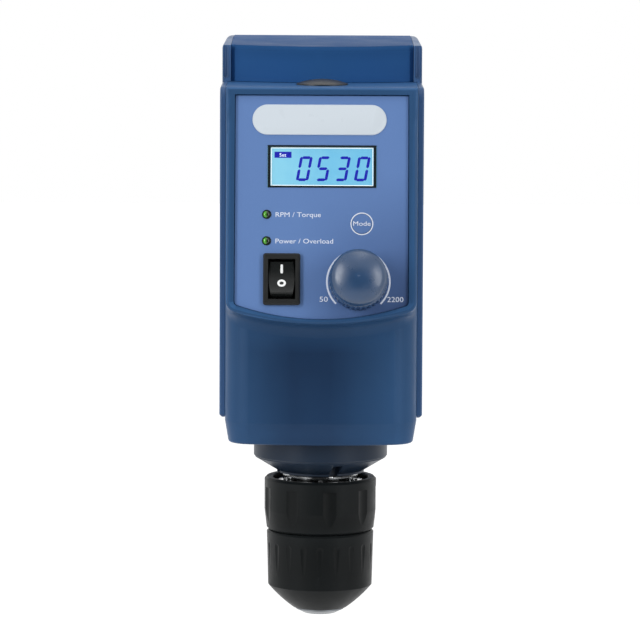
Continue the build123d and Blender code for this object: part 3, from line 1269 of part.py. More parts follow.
def rear_sleeve():
    """The rear sleeve that is held still by hand, softly scalloped, on a web round the body."""
    foot = SLEEVE_SPLIT_Z + SLEEVE_GAP
    web = LOCK_RING_Z - 6.0
    solid = turned([
        (SLEEVE_CAVITY_R, foot),
        (REAR_SLEEVE_FOOT_R - 0.8, foot),
        (REAR_SLEEVE_FOOT_R, foot + 0.8),
        (REAR_SLEEVE_R, foot + 8.4),
        (REAR_SLEEVE_R, REAR_SLEEVE_TOP_Z - 0.9),
        (REAR_SLEEVE_R - 0.9, REAR_SLEEVE_TOP_Z),
        (REAR_SLEEVE_MOUTH_R + 0.5, REAR_SLEEVE_TOP_Z),
        (REAR_SLEEVE_MOUTH_R, REAR_SLEEVE_TOP_Z - 0.5),
        (REAR_SLEEVE_MOUTH_R, web + 3.0),
        (CHUCK_NECK_R + SEAT, web + 3.0),
        (CHUCK_NECK_R + SEAT, web),
        (REAR_SLEEVE_MOUTH_R, web - 1.0),
        (REAR_SLEEVE_MOUTH_R, foot + 2.0),
    ])
    scallop = Pos(REAR_SLEEVE_R + SCALLOP_R - SCALLOP_DEPTH, 0, 0) * cylinder(
        SCALLOP_R, foot + 2.4, REAR_SLEEVE_TOP_Z - 4.0
    )
    return solid - around(REAR_SCALLOPS, scallop)


def lock_ring():
    """The bright grooved ring that locks the chuck on the spindle."""
    groove = CHUCK_TOP_Z - 0.8
    return turned([
        (SPINDLE_R + SEAT, LOCK_RING_Z),
        (CHUCK_BACK_R, LOCK_RING_Z),
        (CHUCK_BACK_R, groove - 0.3),
        (CHUCK_BACK_R - 0.6, groove - 0.15),
        (CHUCK_BACK_R - 0.6, groove + 0.15),
        (CHUCK_BACK_R, groove + 0.3),
        (CHUCK_BACK_R - 0.1, CHUCK_TOP_Z - 0.2),
        (CHUCK_BACK_R - 0.3, CHUCK_TOP_Z),
        (SPINDLE_R + SEAT, CHUCK_TOP_Z),
    ])


def neck_screws():
    """The small set screws round the lock ring."""
    one = Pos(CHUCK_BACK_R + 1.15, 0, 0) * cylinder(0.95, LOCK_RING_Z, LOCK_RING_Z + 1.6)
    return group(around(6, one, 30))


# ---------------------------------------------------------------- the pieces

def build():
    """Builds every node."""
    bearings = (LOWER_BEARING_Z, UPPER_BEARING_Z)
    pieces = {
        "front_housing": front_housing(),
        "rear_cover": rear_cover(),
        "top_hood": hood(),
        "shaft_plug": shaft_plug(),
        "control_panel": control_panel(),
        "badge_plate": badge_plate(),
        "display_frame": display_frame(),
        "display_window": display_window(),
        "display_module": display_module(),
        "upper_lamp": lamp(LAMP_DOWN[0]),
        "lower_lamp": lamp(LAMP_DOWN[1]),
        "mode_key": mode_key(),
        "switch_frame": switch_frame(),
        "rocker_paddle": rocker_paddle(),
        "switch_terminals": switch_terminals(),
        "speed_knob": speed_knob(),
        "speed_control_shaft": pot_shaft(),
        "speed_control_body": pot_body(),
        "speed_control_nut": pot_nut(),
        "control_board": control_board(),
        "board_parts": board_parts(),
        "spindle_cartridge": spindle_cartridge(),
        "nose_ring": nose_ring(),
        "shaft_seal": shaft_seal(),
        "bearing_outer_rings": group([bearing_outer(foot) for foot in bearings]),
        "bearing_inner_rings": group([bearing_inner(foot) for foot in bearings]),
        "bearing_cages": group([ball_cage(foot) for foot in bearings]),
        "bearing_circlip": circlip(),
        "hollow_spindle": hollow_spindle(),
        "spindle_pulley": spindle_pulley(),
        "motor_pulley": motor_pulley(),
        "drive_belt": drive_belt(),
        "motor_case": motor_case(),
        "motor_end_plate": motor_plate(),
        "motor_stator": motor_stator(),
        "motor_windings": motor_windings(),
        "motor_shaft": motor_shaft(),
        "motor_rotor": motor_rotor(),
        "chassis": chassis(),
        "chassis_screws": chassis_screws(),
        "machine_screws": group(board_screws() + collar_screws() + motor_screws()),
        "cover_screws": cover_screws(),
        "support_rod": support_rod(),
        "rod_boss": rod_boss(),
        "rod_nut": rod_nut(),
        "power_inlet": power_inlet(),
        "inlet_pins": inlet_pins(),
        "fuse_drawer": fuse_drawer(),
        "power_board": power_board(),
        "power_parts": power_parts(),
        "chuck_body": chuck_body(),
        "chuck_front_sleeve": front_sleeve(),
        "chuck_rear_sleeve": rear_sleeve(),
        "scroll_nut": scroll_nut(),
        "thrust_ring": thrust_ring(),
        "lock_ring": lock_ring(),
        "neck_screws": neck_screws(),
    }
    for index, jaw in enumerate(around(3, chuck_jaw(), JAW_START_DEG)):
        pieces[f"chuck_jaw_{index + 1}"] = jaw
    return pieces


if __name__ == "__main__":
    for node, solid in build().items():
        write(node, solid)
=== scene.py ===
"""Dresses the overhead stirrer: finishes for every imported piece, the panel's printing and display, and the studio."""

from math import cos, degrees, pi, radians, sin, tan

import bmesh
import bpy
from mathutils import Matrix, Vector
from mathutils.bvhtree import BVHTree


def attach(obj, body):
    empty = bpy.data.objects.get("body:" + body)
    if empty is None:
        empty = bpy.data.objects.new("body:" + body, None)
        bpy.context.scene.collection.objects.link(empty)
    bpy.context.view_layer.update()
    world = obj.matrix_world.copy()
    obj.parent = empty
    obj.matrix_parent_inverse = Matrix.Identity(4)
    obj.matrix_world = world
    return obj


bl_info = {
    "name": "Overhead Stirrer",
    "version": (1, 0, 0),
    "blender": (4, 5, 0),
    "location": "3D View > Sidebar > Stirrer",
    "description": "Builds the look of a laboratory overhead stirrer around its packed frame",
    "category": "Object",
}

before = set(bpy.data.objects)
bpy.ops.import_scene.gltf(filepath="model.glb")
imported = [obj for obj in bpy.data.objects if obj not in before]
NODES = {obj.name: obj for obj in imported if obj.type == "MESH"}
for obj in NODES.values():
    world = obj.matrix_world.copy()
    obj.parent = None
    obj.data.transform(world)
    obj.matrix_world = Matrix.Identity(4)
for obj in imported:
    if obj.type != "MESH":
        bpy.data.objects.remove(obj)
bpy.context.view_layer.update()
MM = 0.001

# The panel's own frame: x across, y up the slope, z out of its face, from the middle of its top edge
PANEL_TILT = radians(13.0)
PANEL_TOP = Vector((0.0, -0.022, 0.2156))
PANEL = Matrix((
    (1.0, 0.0, 0.0, PANEL_TOP.x),
    (0.0, sin(PANEL_TILT), -cos(PANEL_TILT), PANEL_TOP.y),
    (0.0, cos(PANEL_TILT), sin(PANEL_TILT), PANEL_TOP.z),
    (0.0, 0.0, 0.0, 1.0),
))

# Places on the panel, in millimetres across and down the slope
LAMPS_ACROSS = -22.2
UPPER_LAMP_DOWN = 48.7
LOWER_LAMP_DOWN = 59.5
DISPLAY_CENTRE = (0.1, 29.0)
DISPLAY_HALF = (20.72, 7.82)
DISPLAY_EDGE_WIDTH = 0.34
DIGITS_ACROSS = (-7.1, 0.55, 8.35, 16.4)
DIGITS_DOWN = 29.8
FLAG_LEFT, FLAG_RIGHT, FLAG_TOP, FLAG_FOOT = -19.2, -12.3, 22.9, 25.4
KEY_CENTRE = (16.3, 52.4)
DIAL_CENTRE = (14.95, 76.0)
ROCKER_ACROSS = -16.0
BAR_DOWN = 71.0
RING_DOWN = 76.9

# How far print stands over the panel's face, and over the display's glass, in millimetres
PRINT_LOW, PRINT_HIGH = -0.01, 0.035
GLASS_LOW, GLASS_HIGH = -0.9, -0.86
WORDS_HALF_THICK = 0.018

# Segments of each digit, by their usual letters, and the strokes' width and spacing in millimetres
SEGMENTS = {"0": "abcdef", "3": "abcdg", "5": "acdfg"}
STROKE = 1.15
STROKE_GAP = 0.2

# Outline of a lamp's bezel: radius, and height over the panel, in millimetres
BEZEL_OUTLINE = ((1.42, -0.3), (1.42, 0.16), (1.54, 0.3), (1.72, 0.3), (1.86, 0.18), (1.86, -0.02))

# Where tones change over a surface, in metres, as the start and end of each change; the front and film shades are
# painted shade
FRONT_SHADE_MIDDLE = -0.004
FRONT_SHADE_ACROSS = (0.008, 0.036)
FRONT_SHADE_UP = (0.112, 0.128)
FILM_SHADE_UP = (0.130, 0.185)
FILM_SHADE_ACROSS = (-0.01, 0.04)
DISPLAY_PALE_ACROSS = (-0.021, 0.004)
CHUCK_NECK_UP = (0.044, 0.048)

FLOOR_HEIGHT = -0.30
SCREEN_Y = -2.3
WHITE = (1.0, 1.0, 1.0, 1.0)


# ---------------------------------------------------------------- colours and node trees

def linear(red, green, blue):
    """A display colour, 0 to 255, as a linear colour with alpha."""
    channels = [value / 255 for value in (red, green, blue)]
    return (*[c / 12.92 if c <= 0.04045 else ((c + 0.055) / 1.055) ** 2.4 for c in channels], 1.0)


def scaled(color, factor):
    """A colour made lighter or darker."""
    return (*[min(1.0, channel * factor) for channel in color[:3]], 1.0)


class Finish:
    """A material that is put together from nodes."""

    def __init__(self, name):
        self.material = bpy.data.materials.new(name)
        self.material.use_nodes = True
        self.tree = self.material.node_tree
        self.shader = self.tree.nodes["Principled BSDF"]
        self.output = self.tree.nodes["Material Output"]
        self.place = self.tree.nodes.new("ShaderNodeTexCoord").outputs["Object"]

    def node(self, kind, inputs=(), **settings):
        """A new node with its settings and the values or links of its inputs."""
        node = self.tree.nodes.new(kind)
        for key, value in settings.items():
            setattr(node, key, value)
        for key, value in dict(inputs).items():
            self.feed(node.inputs[key], value)
        return node

    def feed(self, socket, value):
        """Links an output to a socket, or sets the socket's value."""
        if isinstance(value, bpy.types.NodeSocket):
            self.tree.links.new(value, socket)
        else:
            socket.default_value = value

    def set(self, **values):
        """Sets the shader's own sockets, with _ for a space."""
        for key, value in values.items():
            self.feed(self.shader.inputs[key.replace("_", " ")], value)

    def stretched(self, scale):
        """The object's coordinates, scaled by a factor along each axis."""
        return self.node("ShaderNodeMapping", {"Vector": self.place, "Scale": scale}).outputs["Vector"]

    def noise(self, scale, detail=4.0, roughness=0.55, vector=None):
        """Noise with features of about 1/scale metres."""
        inputs = {"Vector": vector or self.place, "Scale": scale, "Detail": detail, "Roughness": roughness}
        return self.node("ShaderNodeTexNoise", inputs).outputs["Fac"]

    def spread(self, value, low, high, from_low=0.3, from_high=0.7):
        """A value moved into another range."""
        inputs = {"Value": value, "From Min": from_low, "From Max": from_high, "To Min": low, "To Max": high}
        return self.node("ShaderNodeMapRange", inputs).outputs["Result"]

    def between(self, factor, first, second):
        """A colour between two colours."""
        mix = self.node("ShaderNodeMix", data_type="RGBA")
        self.feed(mix.inputs["Factor"], factor)
        self.feed(mix.inputs["A"], first)
        self.feed(mix.inputs["B"], second)
        return mix.outputs["Result"]

    def relief(self, height, depth, strength):
        """A bump of a given depth in metres."""
        inputs = {"Height": height, "Distance": depth, "Strength": strength}
        return self.node("ShaderNodeBump", inputs).outputs["Normal"]

    def edges(self):
        """A mask that is high along outer edges: worn edges, and on the lower housing also a painted highlight."""
        point = self.node("ShaderNodeNewGeometry").outputs["Pointiness"]
        return self.spread(point, 0.0, 1.0, 0.50, 0.56)


def painted_casting(name, color, grain=0.5, specular=0.22, coat=0.05):
    """Satin stove enamel over a casting: a fine orange peel, slight mottling and paler worn edges."""
    finish = Finish(name)
    mottle = finish.spread(finish.noise(35.0, 3.0), 0.0, 1.0)
    body = finish.between(mottle, scaled(color, 0.93), scaled(color, 1.07))
    worn = finish.between(finish.edges(), body, scaled(color, 1.35))
    peel = finish.noise(2600.0, 2.0)
    smudge = finish.spread(finish.noise(60.0, 5.0), 0.34, 0.46)
    finish.set(Base_Color=worn, Roughness=smudge, Normal=finish.relief(peel, 0.00006, grain))
    finish.set(Specular_IOR_Level=specular, Coat_Weight=coat, Coat_Roughness=0.2)
    return finish.material


def printed_film(name, color, shade):
    """A matt printed film with a faint leather grain and painted shade as a darker lower right corner."""
    finish = Finish(name)
    split = finish.node("ShaderNodeSeparateXYZ", {"Vector": finish.place})
    shade_fall = finish.spread(split.outputs["Z"], 1.0, 0.0, *FILM_SHADE_UP)
    side = finish.spread(split.outputs["X"], 0.0, 1.0, *FILM_SHADE_ACROSS)
    both = finish.node("ShaderNodeMath", {0: shade_fall, 1: side}, operation="MULTIPLY").outputs["Value"]
    speck = finish.spread(finish.noise(5000.0, 2.0), 0.97, 1.03)
    # Painted shade: the film darkens toward its lower right corner.
    tone = finish.between(both, color, shade)
    tone = finish.node("ShaderNodeVectorMath", {0: tone, "Scale": speck}, operation="SCALE").outputs["Vector"]
    finish.set(Base_Color=tone, Roughness=finish.spread(finish.noise(900.0, 3.0), 0.42, 0.5), Specular_IOR_Level=0.3)
    finish.set(Normal=finish.relief(finish.noise(4200.0, 2.0), 0.00003, 0.4))
    return finish.material


def moulded_plastic(name, color, roughness=0.45, grain=0.4, grain_scale=3500.0, specular=0.25, wear=1.6):
    """Moulded plastic with a spark-eroded grain and faint handling marks."""
    finish = Finish(name)
    drift = finish.spread(finish.noise(90.0, 4.0), 0.0, 1.0)
    base = finish.between(drift, scaled(color, 0.88), scaled(color, 1.12))
    rubbed = finish.between(finish.edges(), base, scaled(color, wear))
    rough = finish.spread(finish.noise(220.0, 5.0), roughness - 0.06, roughness + 0.06)
    finish.set(Base_Color=rubbed, Roughness=rough, Specular_IOR_Level=specular)
    finish.set(Normal=finish.relief(finish.noise(grain_scale, 2.0), 0.00005, grain))
    return finish.material


def turned_metal(name, color, roughness=0.28, axis="Z"):
    """Turned or ground metal with fine tool lines round its axis."""
    finish = Finish(name)
    scale = {"Z": (20.0, 20.0, 9000.0), "Y": (20.0, 9000.0, 20.0)}[axis]
    lines = finish.noise(1.0, 3.0, 0.6, finish.stretched(scale))
    tone = finish.between(finish.spread(lines, 0.0, 1.0), scaled(color, 0.82), scaled(color, 1.1))
    smear = finish.spread(finish.noise(150.0, 4.0), roughness - 0.05, roughness + 0.09)
    finish.set(Base_Color=tone, Metallic=1.0, Roughness=smear)
    finish.set(Normal=finish.relief(lines, 0.00001, 0.35))
    return finish.material


def chuck_metal(name, ground, bright):
    """Steel that is ground at the nose and bright up at the neck."""
    finish = Finish(name)
    split = finish.node("ShaderNodeSeparateXYZ", {"Vector": finish.place})
    neck = finish.spread(split.outputs["Z"], 0.0, 1.0, *CHUCK_NECK_UP)
    lines = finish.noise(1.0, 3.0, 0.6, finish.stretched((20.0, 20.0, 9000.0)))
    tone = finish.between(neck, ground, bright)
    worn = finish.spread(lines, 0.88, 1.06)
    tone = finish.node("ShaderNodeVectorMath", {0: tone, "Scale": worn}, operation="SCALE").outputs["Vector"]
    finish.set(Base_Color=tone, Metallic=1.0, Roughness=finish.spread(neck, 0.3, 0.12, 0.0, 1.0))
    finish.set(Normal=finish.relief(lines, 0.00001, 0.3))
    return finish.material


def plated_metal(name, color, roughness=0.12):
    """Bright plating with a slight ripple and small specks."""
    finish = Finish(name)
    ripple = finish.noise(240.0, 2.0)
    specks = finish.spread(finish.noise(3000.0, 2.0), 0.0, 1.0, 0.62, 0.72)
    tone = finish.between(specks, color, scaled(color, 0.75))
    finish.set(Base_Color=tone, Metallic=1.0)
    finish.set(Roughness=finish.spread(finish.noise(300.0, 4.0), roughness - 0.03, roughness + 0.06))
    finish.set(Normal=finish.relief(ripple, 0.00004, 0.25))
    return finish.material


def zinc_sheet(name, color):
    """Zinc-plated sheet with a cloudy bloom."""
    finish = Finish(name)
    cells = finish.node("ShaderNodeTexVoronoi", {"Vector": finish.place, "Scale": 260.0}).outputs["Color"]
    bloom = finish.between(0.25, finish.between(finish.noise(60.0), scaled(color, 0.85), color), cells)
    finish.set(Base_Color=finish.between(0.12, color, bloom), Metallic=0.9)
    finish.set(Roughness=finish.spread(finish.noise(400.0), 0.32, 0.5))
    finish.set(Normal=finish.relief(finish.noise(900.0), 0.00002, 0.3))
    return finish.material


def soft_rubber(name, color):
    """Dense black rubber with a satin bloom."""
    finish = Finish(name)
    bloom = finish.between(finish.spread(finish.noise(300.0), 0.0, 1.0), color, scaled(color, 1.7))
    finish.set(Base_Color=bloom, Roughness=finish.spread(finish.noise(700.0), 0.3, 0.42))
    finish.set(Normal=finish.relief(finish.noise(3000.0, 2.0), 0.00004, 0.4))
    return finish.material


def clear_window(name):
    """A clear, slightly glossy window."""
    finish = Finish(name)
    finish.set(Base_Color=(0.05, 0.07, 0.08, 1.0), Alpha=0.08)
    finish.set(Roughness=finish.spread(finish.noise(500.0), 0.03, 0.08))
    return finish.material


def lit_glass(name, color, pale, strength):
    """A backlit display, paler to the left, with a fine dot structure."""
    finish = Finish(name)
    split = finish.node("ShaderNodeSeparateXYZ", {"Vector": finish.place})
    across = finish.spread(split.outputs["X"], 1.0, 0.0, *DISPLAY_PALE_ACROSS)
    cloud = finish.spread(finish.noise(180.0, 2.0), 0.0, 0.35)
    amount = finish.node("ShaderNodeMath", {0: across, 1: cloud}, operation="ADD", use_clamp=True).outputs["Value"]
    glow = finish.between(amount, color, pale)
    finish.set(Base_Color=scaled(color, 0.35), Roughness=0.3, Emission_Color=glow, Emission_Strength=strength)
    return finish.material


def lit_lamp(name, color, strength, middle):
    """A dark diffused lamp that glows, with its glow painted as a bright spot on its left side alone: a painted
    highlight.
    """
    finish = Finish(name)
    cells = finish.noise(900.0, 2.0)
    split = finish.node("ShaderNodeSeparateXYZ", {"Vector": finish.place})
    left = finish.spread(split.outputs["X"], 1.0, 0.0, middle - 0.0006, middle + 0.0002)
    tone = finish.between(finish.spread(cells, 0.0, 1.0), scaled(color, 0.7), scaled(color, 1.3))
    # Painted highlight: only the left side is lit and glows; the right side is painted near black.
    tone = finish.between(left, scaled(color, 0.04), tone)
    finish.set(Base_Color=tone, Roughness=0.22, Emission_Color=tone, Emission_Strength=strength, Coat_Weight=0.3)
    return finish.material


def screen_ink(name, color, glow=0.0):
    """Opaque printing ink with a fine screen texture; its glow is painted light on the panel and the rocker, and stands
    for the backlight on the display.
    """
    finish = Finish(name)
    weave = finish.spread(finish.noise(6000.0, 2.0), 0.0, 1.0)
    ink = finish.between(weave, scaled(color, 0.95), color)
    # The ink's glow is painted light, except on the backlit display.
    finish.set(Base_Color=ink, Roughness=0.5, Emission_Color=ink, Emission_Strength=glow)
    finish.set(Normal=finish.relief(weave, 0.00001, 0.3))
    return finish.material


def circuit_board(name, color):
    """Green solder resist over faint tracks."""
    finish = Finish(name)
    brick = finish.node("ShaderNodeTexBrick", {"Vector": finish.place, "Scale": 160.0, "Mortar Size": 0.03})
    finish.feed(brick.inputs["Color1"], color)
    finish.feed(brick.inputs["Color2"], scaled(color, 0.8))
    finish.feed(brick.inputs["Mortar"], scaled(color, 1.8))
    finish.set(Base_Color=brick.outputs["Color"], Roughness=finish.spread(finish.noise(800.0), 0.3, 0.45))
    finish.set(Coat_Weight=0.3)
    return finish.material


def laminated_iron(name, color):
    """A stack of dark laminations."""
    finish = Finish(name)
    wave = finish.node(
        "ShaderNodeTexWave", {"Vector": finish.place, "Scale": 320.0, "Distortion": 0.2},
        wave_type="BANDS", bands_direction="Z",
    ).outputs["Fac"]
    finish.set(Base_Color=finish.between(wave, scaled(color, 0.7), color), Metallic=0.8, Roughness=0.45)
    finish.set(Normal=finish.relief(wave, 0.00005, 0.5))
    return finish.material


def wound_copper(name, color):
    """Enamelled copper wire laid side by side."""
    finish = Finish(name)
    wave = finish.node(
        "ShaderNodeTexWave", {"Vector": finish.place, "Scale": 400.0, "Distortion": 1.5},
        wave_type="BANDS", bands_direction="DIAGONAL",
    ).outputs["Fac"]
    finish.set(Base_Color=finish.between(wave, scaled(color, 0.55), color), Metallic=0.9, Roughness=0.3)
    finish.set(Normal=finish.relief(wave, 0.0001, 0.6), Coat_Weight=0.5)
    return finish.material


def enamel_in_shade(name, color, dark):
    """The lower housing's enamel, with painted shade as a deeper tone toward its middle, low on the front, and paler
    edges that are partly wear and partly painted highlight.
    """
    finish = Finish(name)
    split = finish.node("ShaderNodeSeparateXYZ", {"Vector": finish.place})
    off = finish.node("ShaderNodeMath", {0: split.outputs["X"], 1: FRONT_SHADE_MIDDLE}, operation="SUBTRACT")
    away = finish.node("ShaderNodeMath", {0: off.outputs["Value"]}, operation="ABSOLUTE").outputs["Value"]
    side = finish.spread(away, 0.0, 1.0, *FRONT_SHADE_ACROSS)
    low = finish.spread(split.outputs["Z"], 1.0, 0.0, *FRONT_SHADE_UP)
    middle = finish.node("ShaderNodeMath", {0: 1.0, 1: side}, operation="SUBTRACT").outputs["Value"]
    amount = finish.node("ShaderNodeMath", {0: middle, 1: low}, operation="MULTIPLY").outputs["Value"]
    mottle = finish.spread(finish.noise(35.0, 3.0), 0.94, 1.06)
    # Painted shade: the enamel darkens toward the middle of the lower front.
    tone = finish.between(amount, color, dark)
    tone = finish.node("ShaderNodeVectorMath", {0: tone, "Scale": mottle}, operation="SCALE").outputs["Vector"]
    # The paler edges are partly wear and partly a painted highlight along the rims.
    worn = finish.between(finish.edges(), tone, scaled(color, 1.6))
    smudge = finish.spread(finish.noise(60.0, 5.0), 0.34, 0.46)
    finish.set(Base_Color=worn, Roughness=smudge, Specular_IOR_Level=0.12, Coat_Weight=0.05, Coat_Roughness=0.2)
    finish.set(Normal=finish.relief(finish.noise(2600.0, 2.0), 0.00006, 0.5))
    return finish.material


def seen_rays(tree):
    """A mask of the rays that come from the camera, or that a reflection or a clear piece sends on."""
    path = tree.nodes.new("ShaderNodeLightPath")
    seen = path.outputs["Is Camera Ray"]
    for kind in ("Is Glossy Ray", "Is Transmission Ray"):
        either = tree.nodes.new("ShaderNodeMath")
        either.operation = "MAXIMUM"
        tree.links.new(seen, either.inputs[0])
        tree.links.new(path.outputs[kind], either.inputs[1])
        seen = either.outputs["Value"]
    return seen


def dress(material, *names):
    """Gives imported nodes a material."""
    for name in names:
        mesh = NODES[name].data
        mesh.materials.clear()
        mesh.materials.append(material)


# ---------------------------------------------------------------- mesh making

def panel_point(across, down, out=0.0):
    """A point on the panel, in metres, from millimetres across, down the slope and out of its face."""
    return PANEL @ Vector((across * MM, -down * MM, out * MM))


def linked_object(name, bm, material):
    """Makes an object of a finished bmesh, gives it its finish and links it to the scene."""
    mesh = bpy.data.meshes.new(name)
    bm.to_mesh(mesh)
    bm.free()
    mesh.materials.append(material)
    piece = bpy.data.objects.new(name, mesh)
    bpy.context.scene.collection.objects.link(piece)
    return piece


def solid_of(name, bm, material, body):
    """Makes a piece of a finished bmesh and puts it on its body."""
    bmesh.ops.recalc_face_normals(bm, faces=bm.faces)
    piece = linked_object(name, bm, material)
    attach(piece, body)


def raised_print(bm, outline, low=PRINT_LOW, high=PRINT_HIGH):
    """Adds a thin raised shape to a bmesh, from its outline in panel millimetres across and down."""
    base = [bm.verts.new(panel_point(x, y, low)) for x, y in outline]
    top = [bm.verts.new(panel_point(x, y, high)) for x, y in outline]
    count = len(outline)
    bm.faces.new(base)
    bm.faces.new(top)
    for i in range(count):
        j = (i + 1) % count
        bm.faces.new((base[i], base[j], top[j], top[i]))


def band_faces(bm, low_in, low_out, top_in, top_out, closed=True):
    """Joins four rows of corners into a band, with ends where it isn't closed."""
    count = len(low_in)
    for i in range(count if closed else count - 1):
        j = (i + 1) % count
        for first, second in ((low_in, low_out), (top_in, top_out), (low_in, top_in), (low_out, top_out)):
            bm.faces.new((first[i], first[j], second[j], second[i]))
    if not closed:
        for i in (0, count - 1):
            bm.faces.new((low_in[i], low_out[i], top_out[i], top_in[i]))


def raised_band(bm, inner, outer, closed=True, low=PRINT_LOW, high=PRINT_HIGH):
    """Adds a thin raised band between two rows of points in panel millimetres."""
    rows = []
    for points, level in ((inner, low), (outer, low), (inner, high), (outer, high)):
        rows.append([bm.verts.new(panel_point(x, y, level)) for x, y in points])
    band_faces(bm, *rows, closed=closed)


def arc_points(centre, radius, first, last, count):
    """Points round a centre on the panel; the angles are in degrees, anticlockwise from the right."""
    points = []
    for i in range(count):
        angle = radians(first + (last - first) * i / (count - 1))
        points.append((centre[0] + radius * cos(angle), centre[1] - radius * sin(angle)))
    return points


def circle_points(centre, radius, count):
    """Points round a full circle on the panel."""
    return arc_points(centre, radius, 0, 360, count + 1)[:-1]


def lettering(name, words, height, start, width, material, body="head", align="LEFT", out=0.0):
    """Flat raised words on the panel, all in its millimetres.

    Start is where the baseline begins, or its middle for centred words; height is that of a capital.
    """
    curve = bpy.data.curves.new(name, "FONT")
    curve.body = words
    curve.align_x = align
    curve.size = height / 0.72
    curve.extrude = WORDS_HALF_THICK
    curve.resolution_u = 3
    draft = bpy.data.objects.new(name + "_draft", curve)
    bpy.context.scene.collection.objects.link(draft)
    bpy.context.view_layer.update()
    mesh = bpy.data.meshes.new_from_object(draft.evaluated_get(bpy.context.evaluated_depsgraph_get()))
    bpy.data.objects.remove(draft)
    bpy.data.curves.remove(curve)
    xs = [vertex.co.x for vertex in mesh.vertices]
    stretch = width / (max(xs) - min(xs))
    shift = {"LEFT": -min(xs), "CENTER": -(min(xs) + max(xs)) / 2}[align]
    for vertex in mesh.vertices:
        x, y, z = vertex.co
        vertex.co = panel_point(start[0] + (x + shift) * stretch, start[1] - y, z + out + WORDS_HALF_THICK)
    bm = bmesh.new()
    bm.from_mesh(mesh)
    bmesh.ops.remove_doubles(bm, verts=bm.verts, dist=1e-7)
    bpy.data.meshes.remove(mesh)
    solid_of(name, bm, material, body)


def node_surface(name):
    """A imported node's surface, for finding points on it."""
    bm = bmesh.new()
    bm.from_mesh(NODES[name].data)
    surface = BVHTree.FromBMesh(bm)
    bm.free()
    return surface


def height_over(surface, across, down):
    """How far a surface stands out of the panel's face at a place, in millimetres."""
    start = panel_point(across, down, 40.0)
    inward = -(PANEL.to_3x3() @ Vector((0, 0, 1)))
    hit = surface.ray_cast(start, inward)[0]
    return 40.0 - (hit - start).length / MM if hit else 0.0


def draped_band(bm, surface, inner, outer, lift=0.05, sink=0.12):
    """Adds a closed band of print that follows a curved surface."""
    rows = []
    for points, offset in ((inner, -sink), (outer, -sink), (inner, lift), (outer, lift)):
        rows.append([bm.verts.new(panel_point(x, y, height_over(surface, x, y) + offset)) for x, y in points])
    band_faces(bm, *rows)


# ---------------------------------------------------------------- settings

class StirrerFinishes(bpy.types.PropertyGroup):
    """The colours of the instrument."""

    housing: bpy.props.FloatVectorProperty(
        name="Housing", description="Colour of the enamelled front housing", subtype="COLOR", size=4,
        default=linear(48, 83, 124), min=0.0, max=1.0,
    )
    # Colour of the painted shade in the middle of the lower front.
    housing_shade: bpy.props.FloatVectorProperty(
        name="Housing Shade", description="Deeper tone in the middle of the lower front", subtype="COLOR", size=4,
        default=linear(29, 54, 86), min=0.0, max=1.0,
    )
    cover: bpy.props.FloatVectorProperty(
        name="Cover", description="Colour of the rear cover", subtype="COLOR", size=4,
        default=linear(58, 88, 128), min=0.0, max=1.0,
    )
    hood: bpy.props.FloatVectorProperty(
        name="Hood", description="Colour of the hood and its brow", subtype="COLOR", size=4,
        default=linear(39, 79, 128), min=0.0, max=1.0,
    )
    film: bpy.props.FloatVectorProperty(
        name="Panel", description="Colour of the printed panel", subtype="COLOR", size=4,
        default=linear(104, 138, 195), min=0.0, max=1.0,
    )
    # Colour of the painted shade at the panel's lower right.
    film_shade: bpy.props.FloatVectorProperty(
        name="Panel Shade", description="Deeper tone at the panel's lower right", subtype="COLOR", size=4,
        default=linear(60, 84, 130), min=0.0, max=1.0,
    )
    badge: bpy.props.FloatVectorProperty(
        name="Badge", description="Colour of the bare badge plate", subtype="COLOR", size=4,
        default=linear(182, 190, 197), min=0.0, max=1.0,
    )
    knob: bpy.props.FloatVectorProperty(
        name="Knob", description="Colour of the speed knob", subtype="COLOR", size=4,
        default=linear(40, 72, 110), min=0.0, max=1.0,
    )
    chuck: bpy.props.FloatVectorProperty(
        name="Chuck", description="Colour of the chuck's sleeves", subtype="COLOR", size=4,
        default=linear(15, 18, 19), min=0.0, max=1.0,
    )
    collar: bpy.props.FloatVectorProperty(
        name="Collar", description="Colour of the collar under the housing", subtype="COLOR", size=4,
        default=linear(27, 40, 56), min=0.0, max=1.0,
    )


class StirrerDisplay(bpy.types.PropertyGroup):
    """What the display and the dial show."""

    reading: bpy.props.StringProperty(name="Reading", description="Digits on the display", default="0530")
    digit_height: bpy.props.FloatProperty(
        name="Digit Height", description="Height of the digits, in metres", default=10.2 * MM, subtype="DISTANCE",
        unit="LENGTH", precision=5,
    )
    digit_width: bpy.props.FloatProperty(
        name="Digit Width", description="Width of the digits, in metres", default=5.1 * MM, subtype="DISTANCE",
        unit="LENGTH", precision=5,
    )
    digit_slant: bpy.props.FloatProperty(
        name="Digit Slant", description="Lean of the digits", default=radians(10.5), subtype="ANGLE",
    )
    glow: bpy.props.FloatProperty(
        name="Glow", description="Strength of the display's backlight", default=0.84, min=0.0, max=5.0,
    )
    dial_radius: bpy.props.FloatProperty(
        name="Dial Radius", description="Radius of the printed dial arc, in metres", default=12.7 * MM,
        subtype="DISTANCE", unit="LENGTH", precision=5,
    )
    dial_sweep: bpy.props.FloatProperty(
        name="Dial Sweep", description="Angle that the dial arc covers", default=radians(270), subtype="ANGLE",
    )


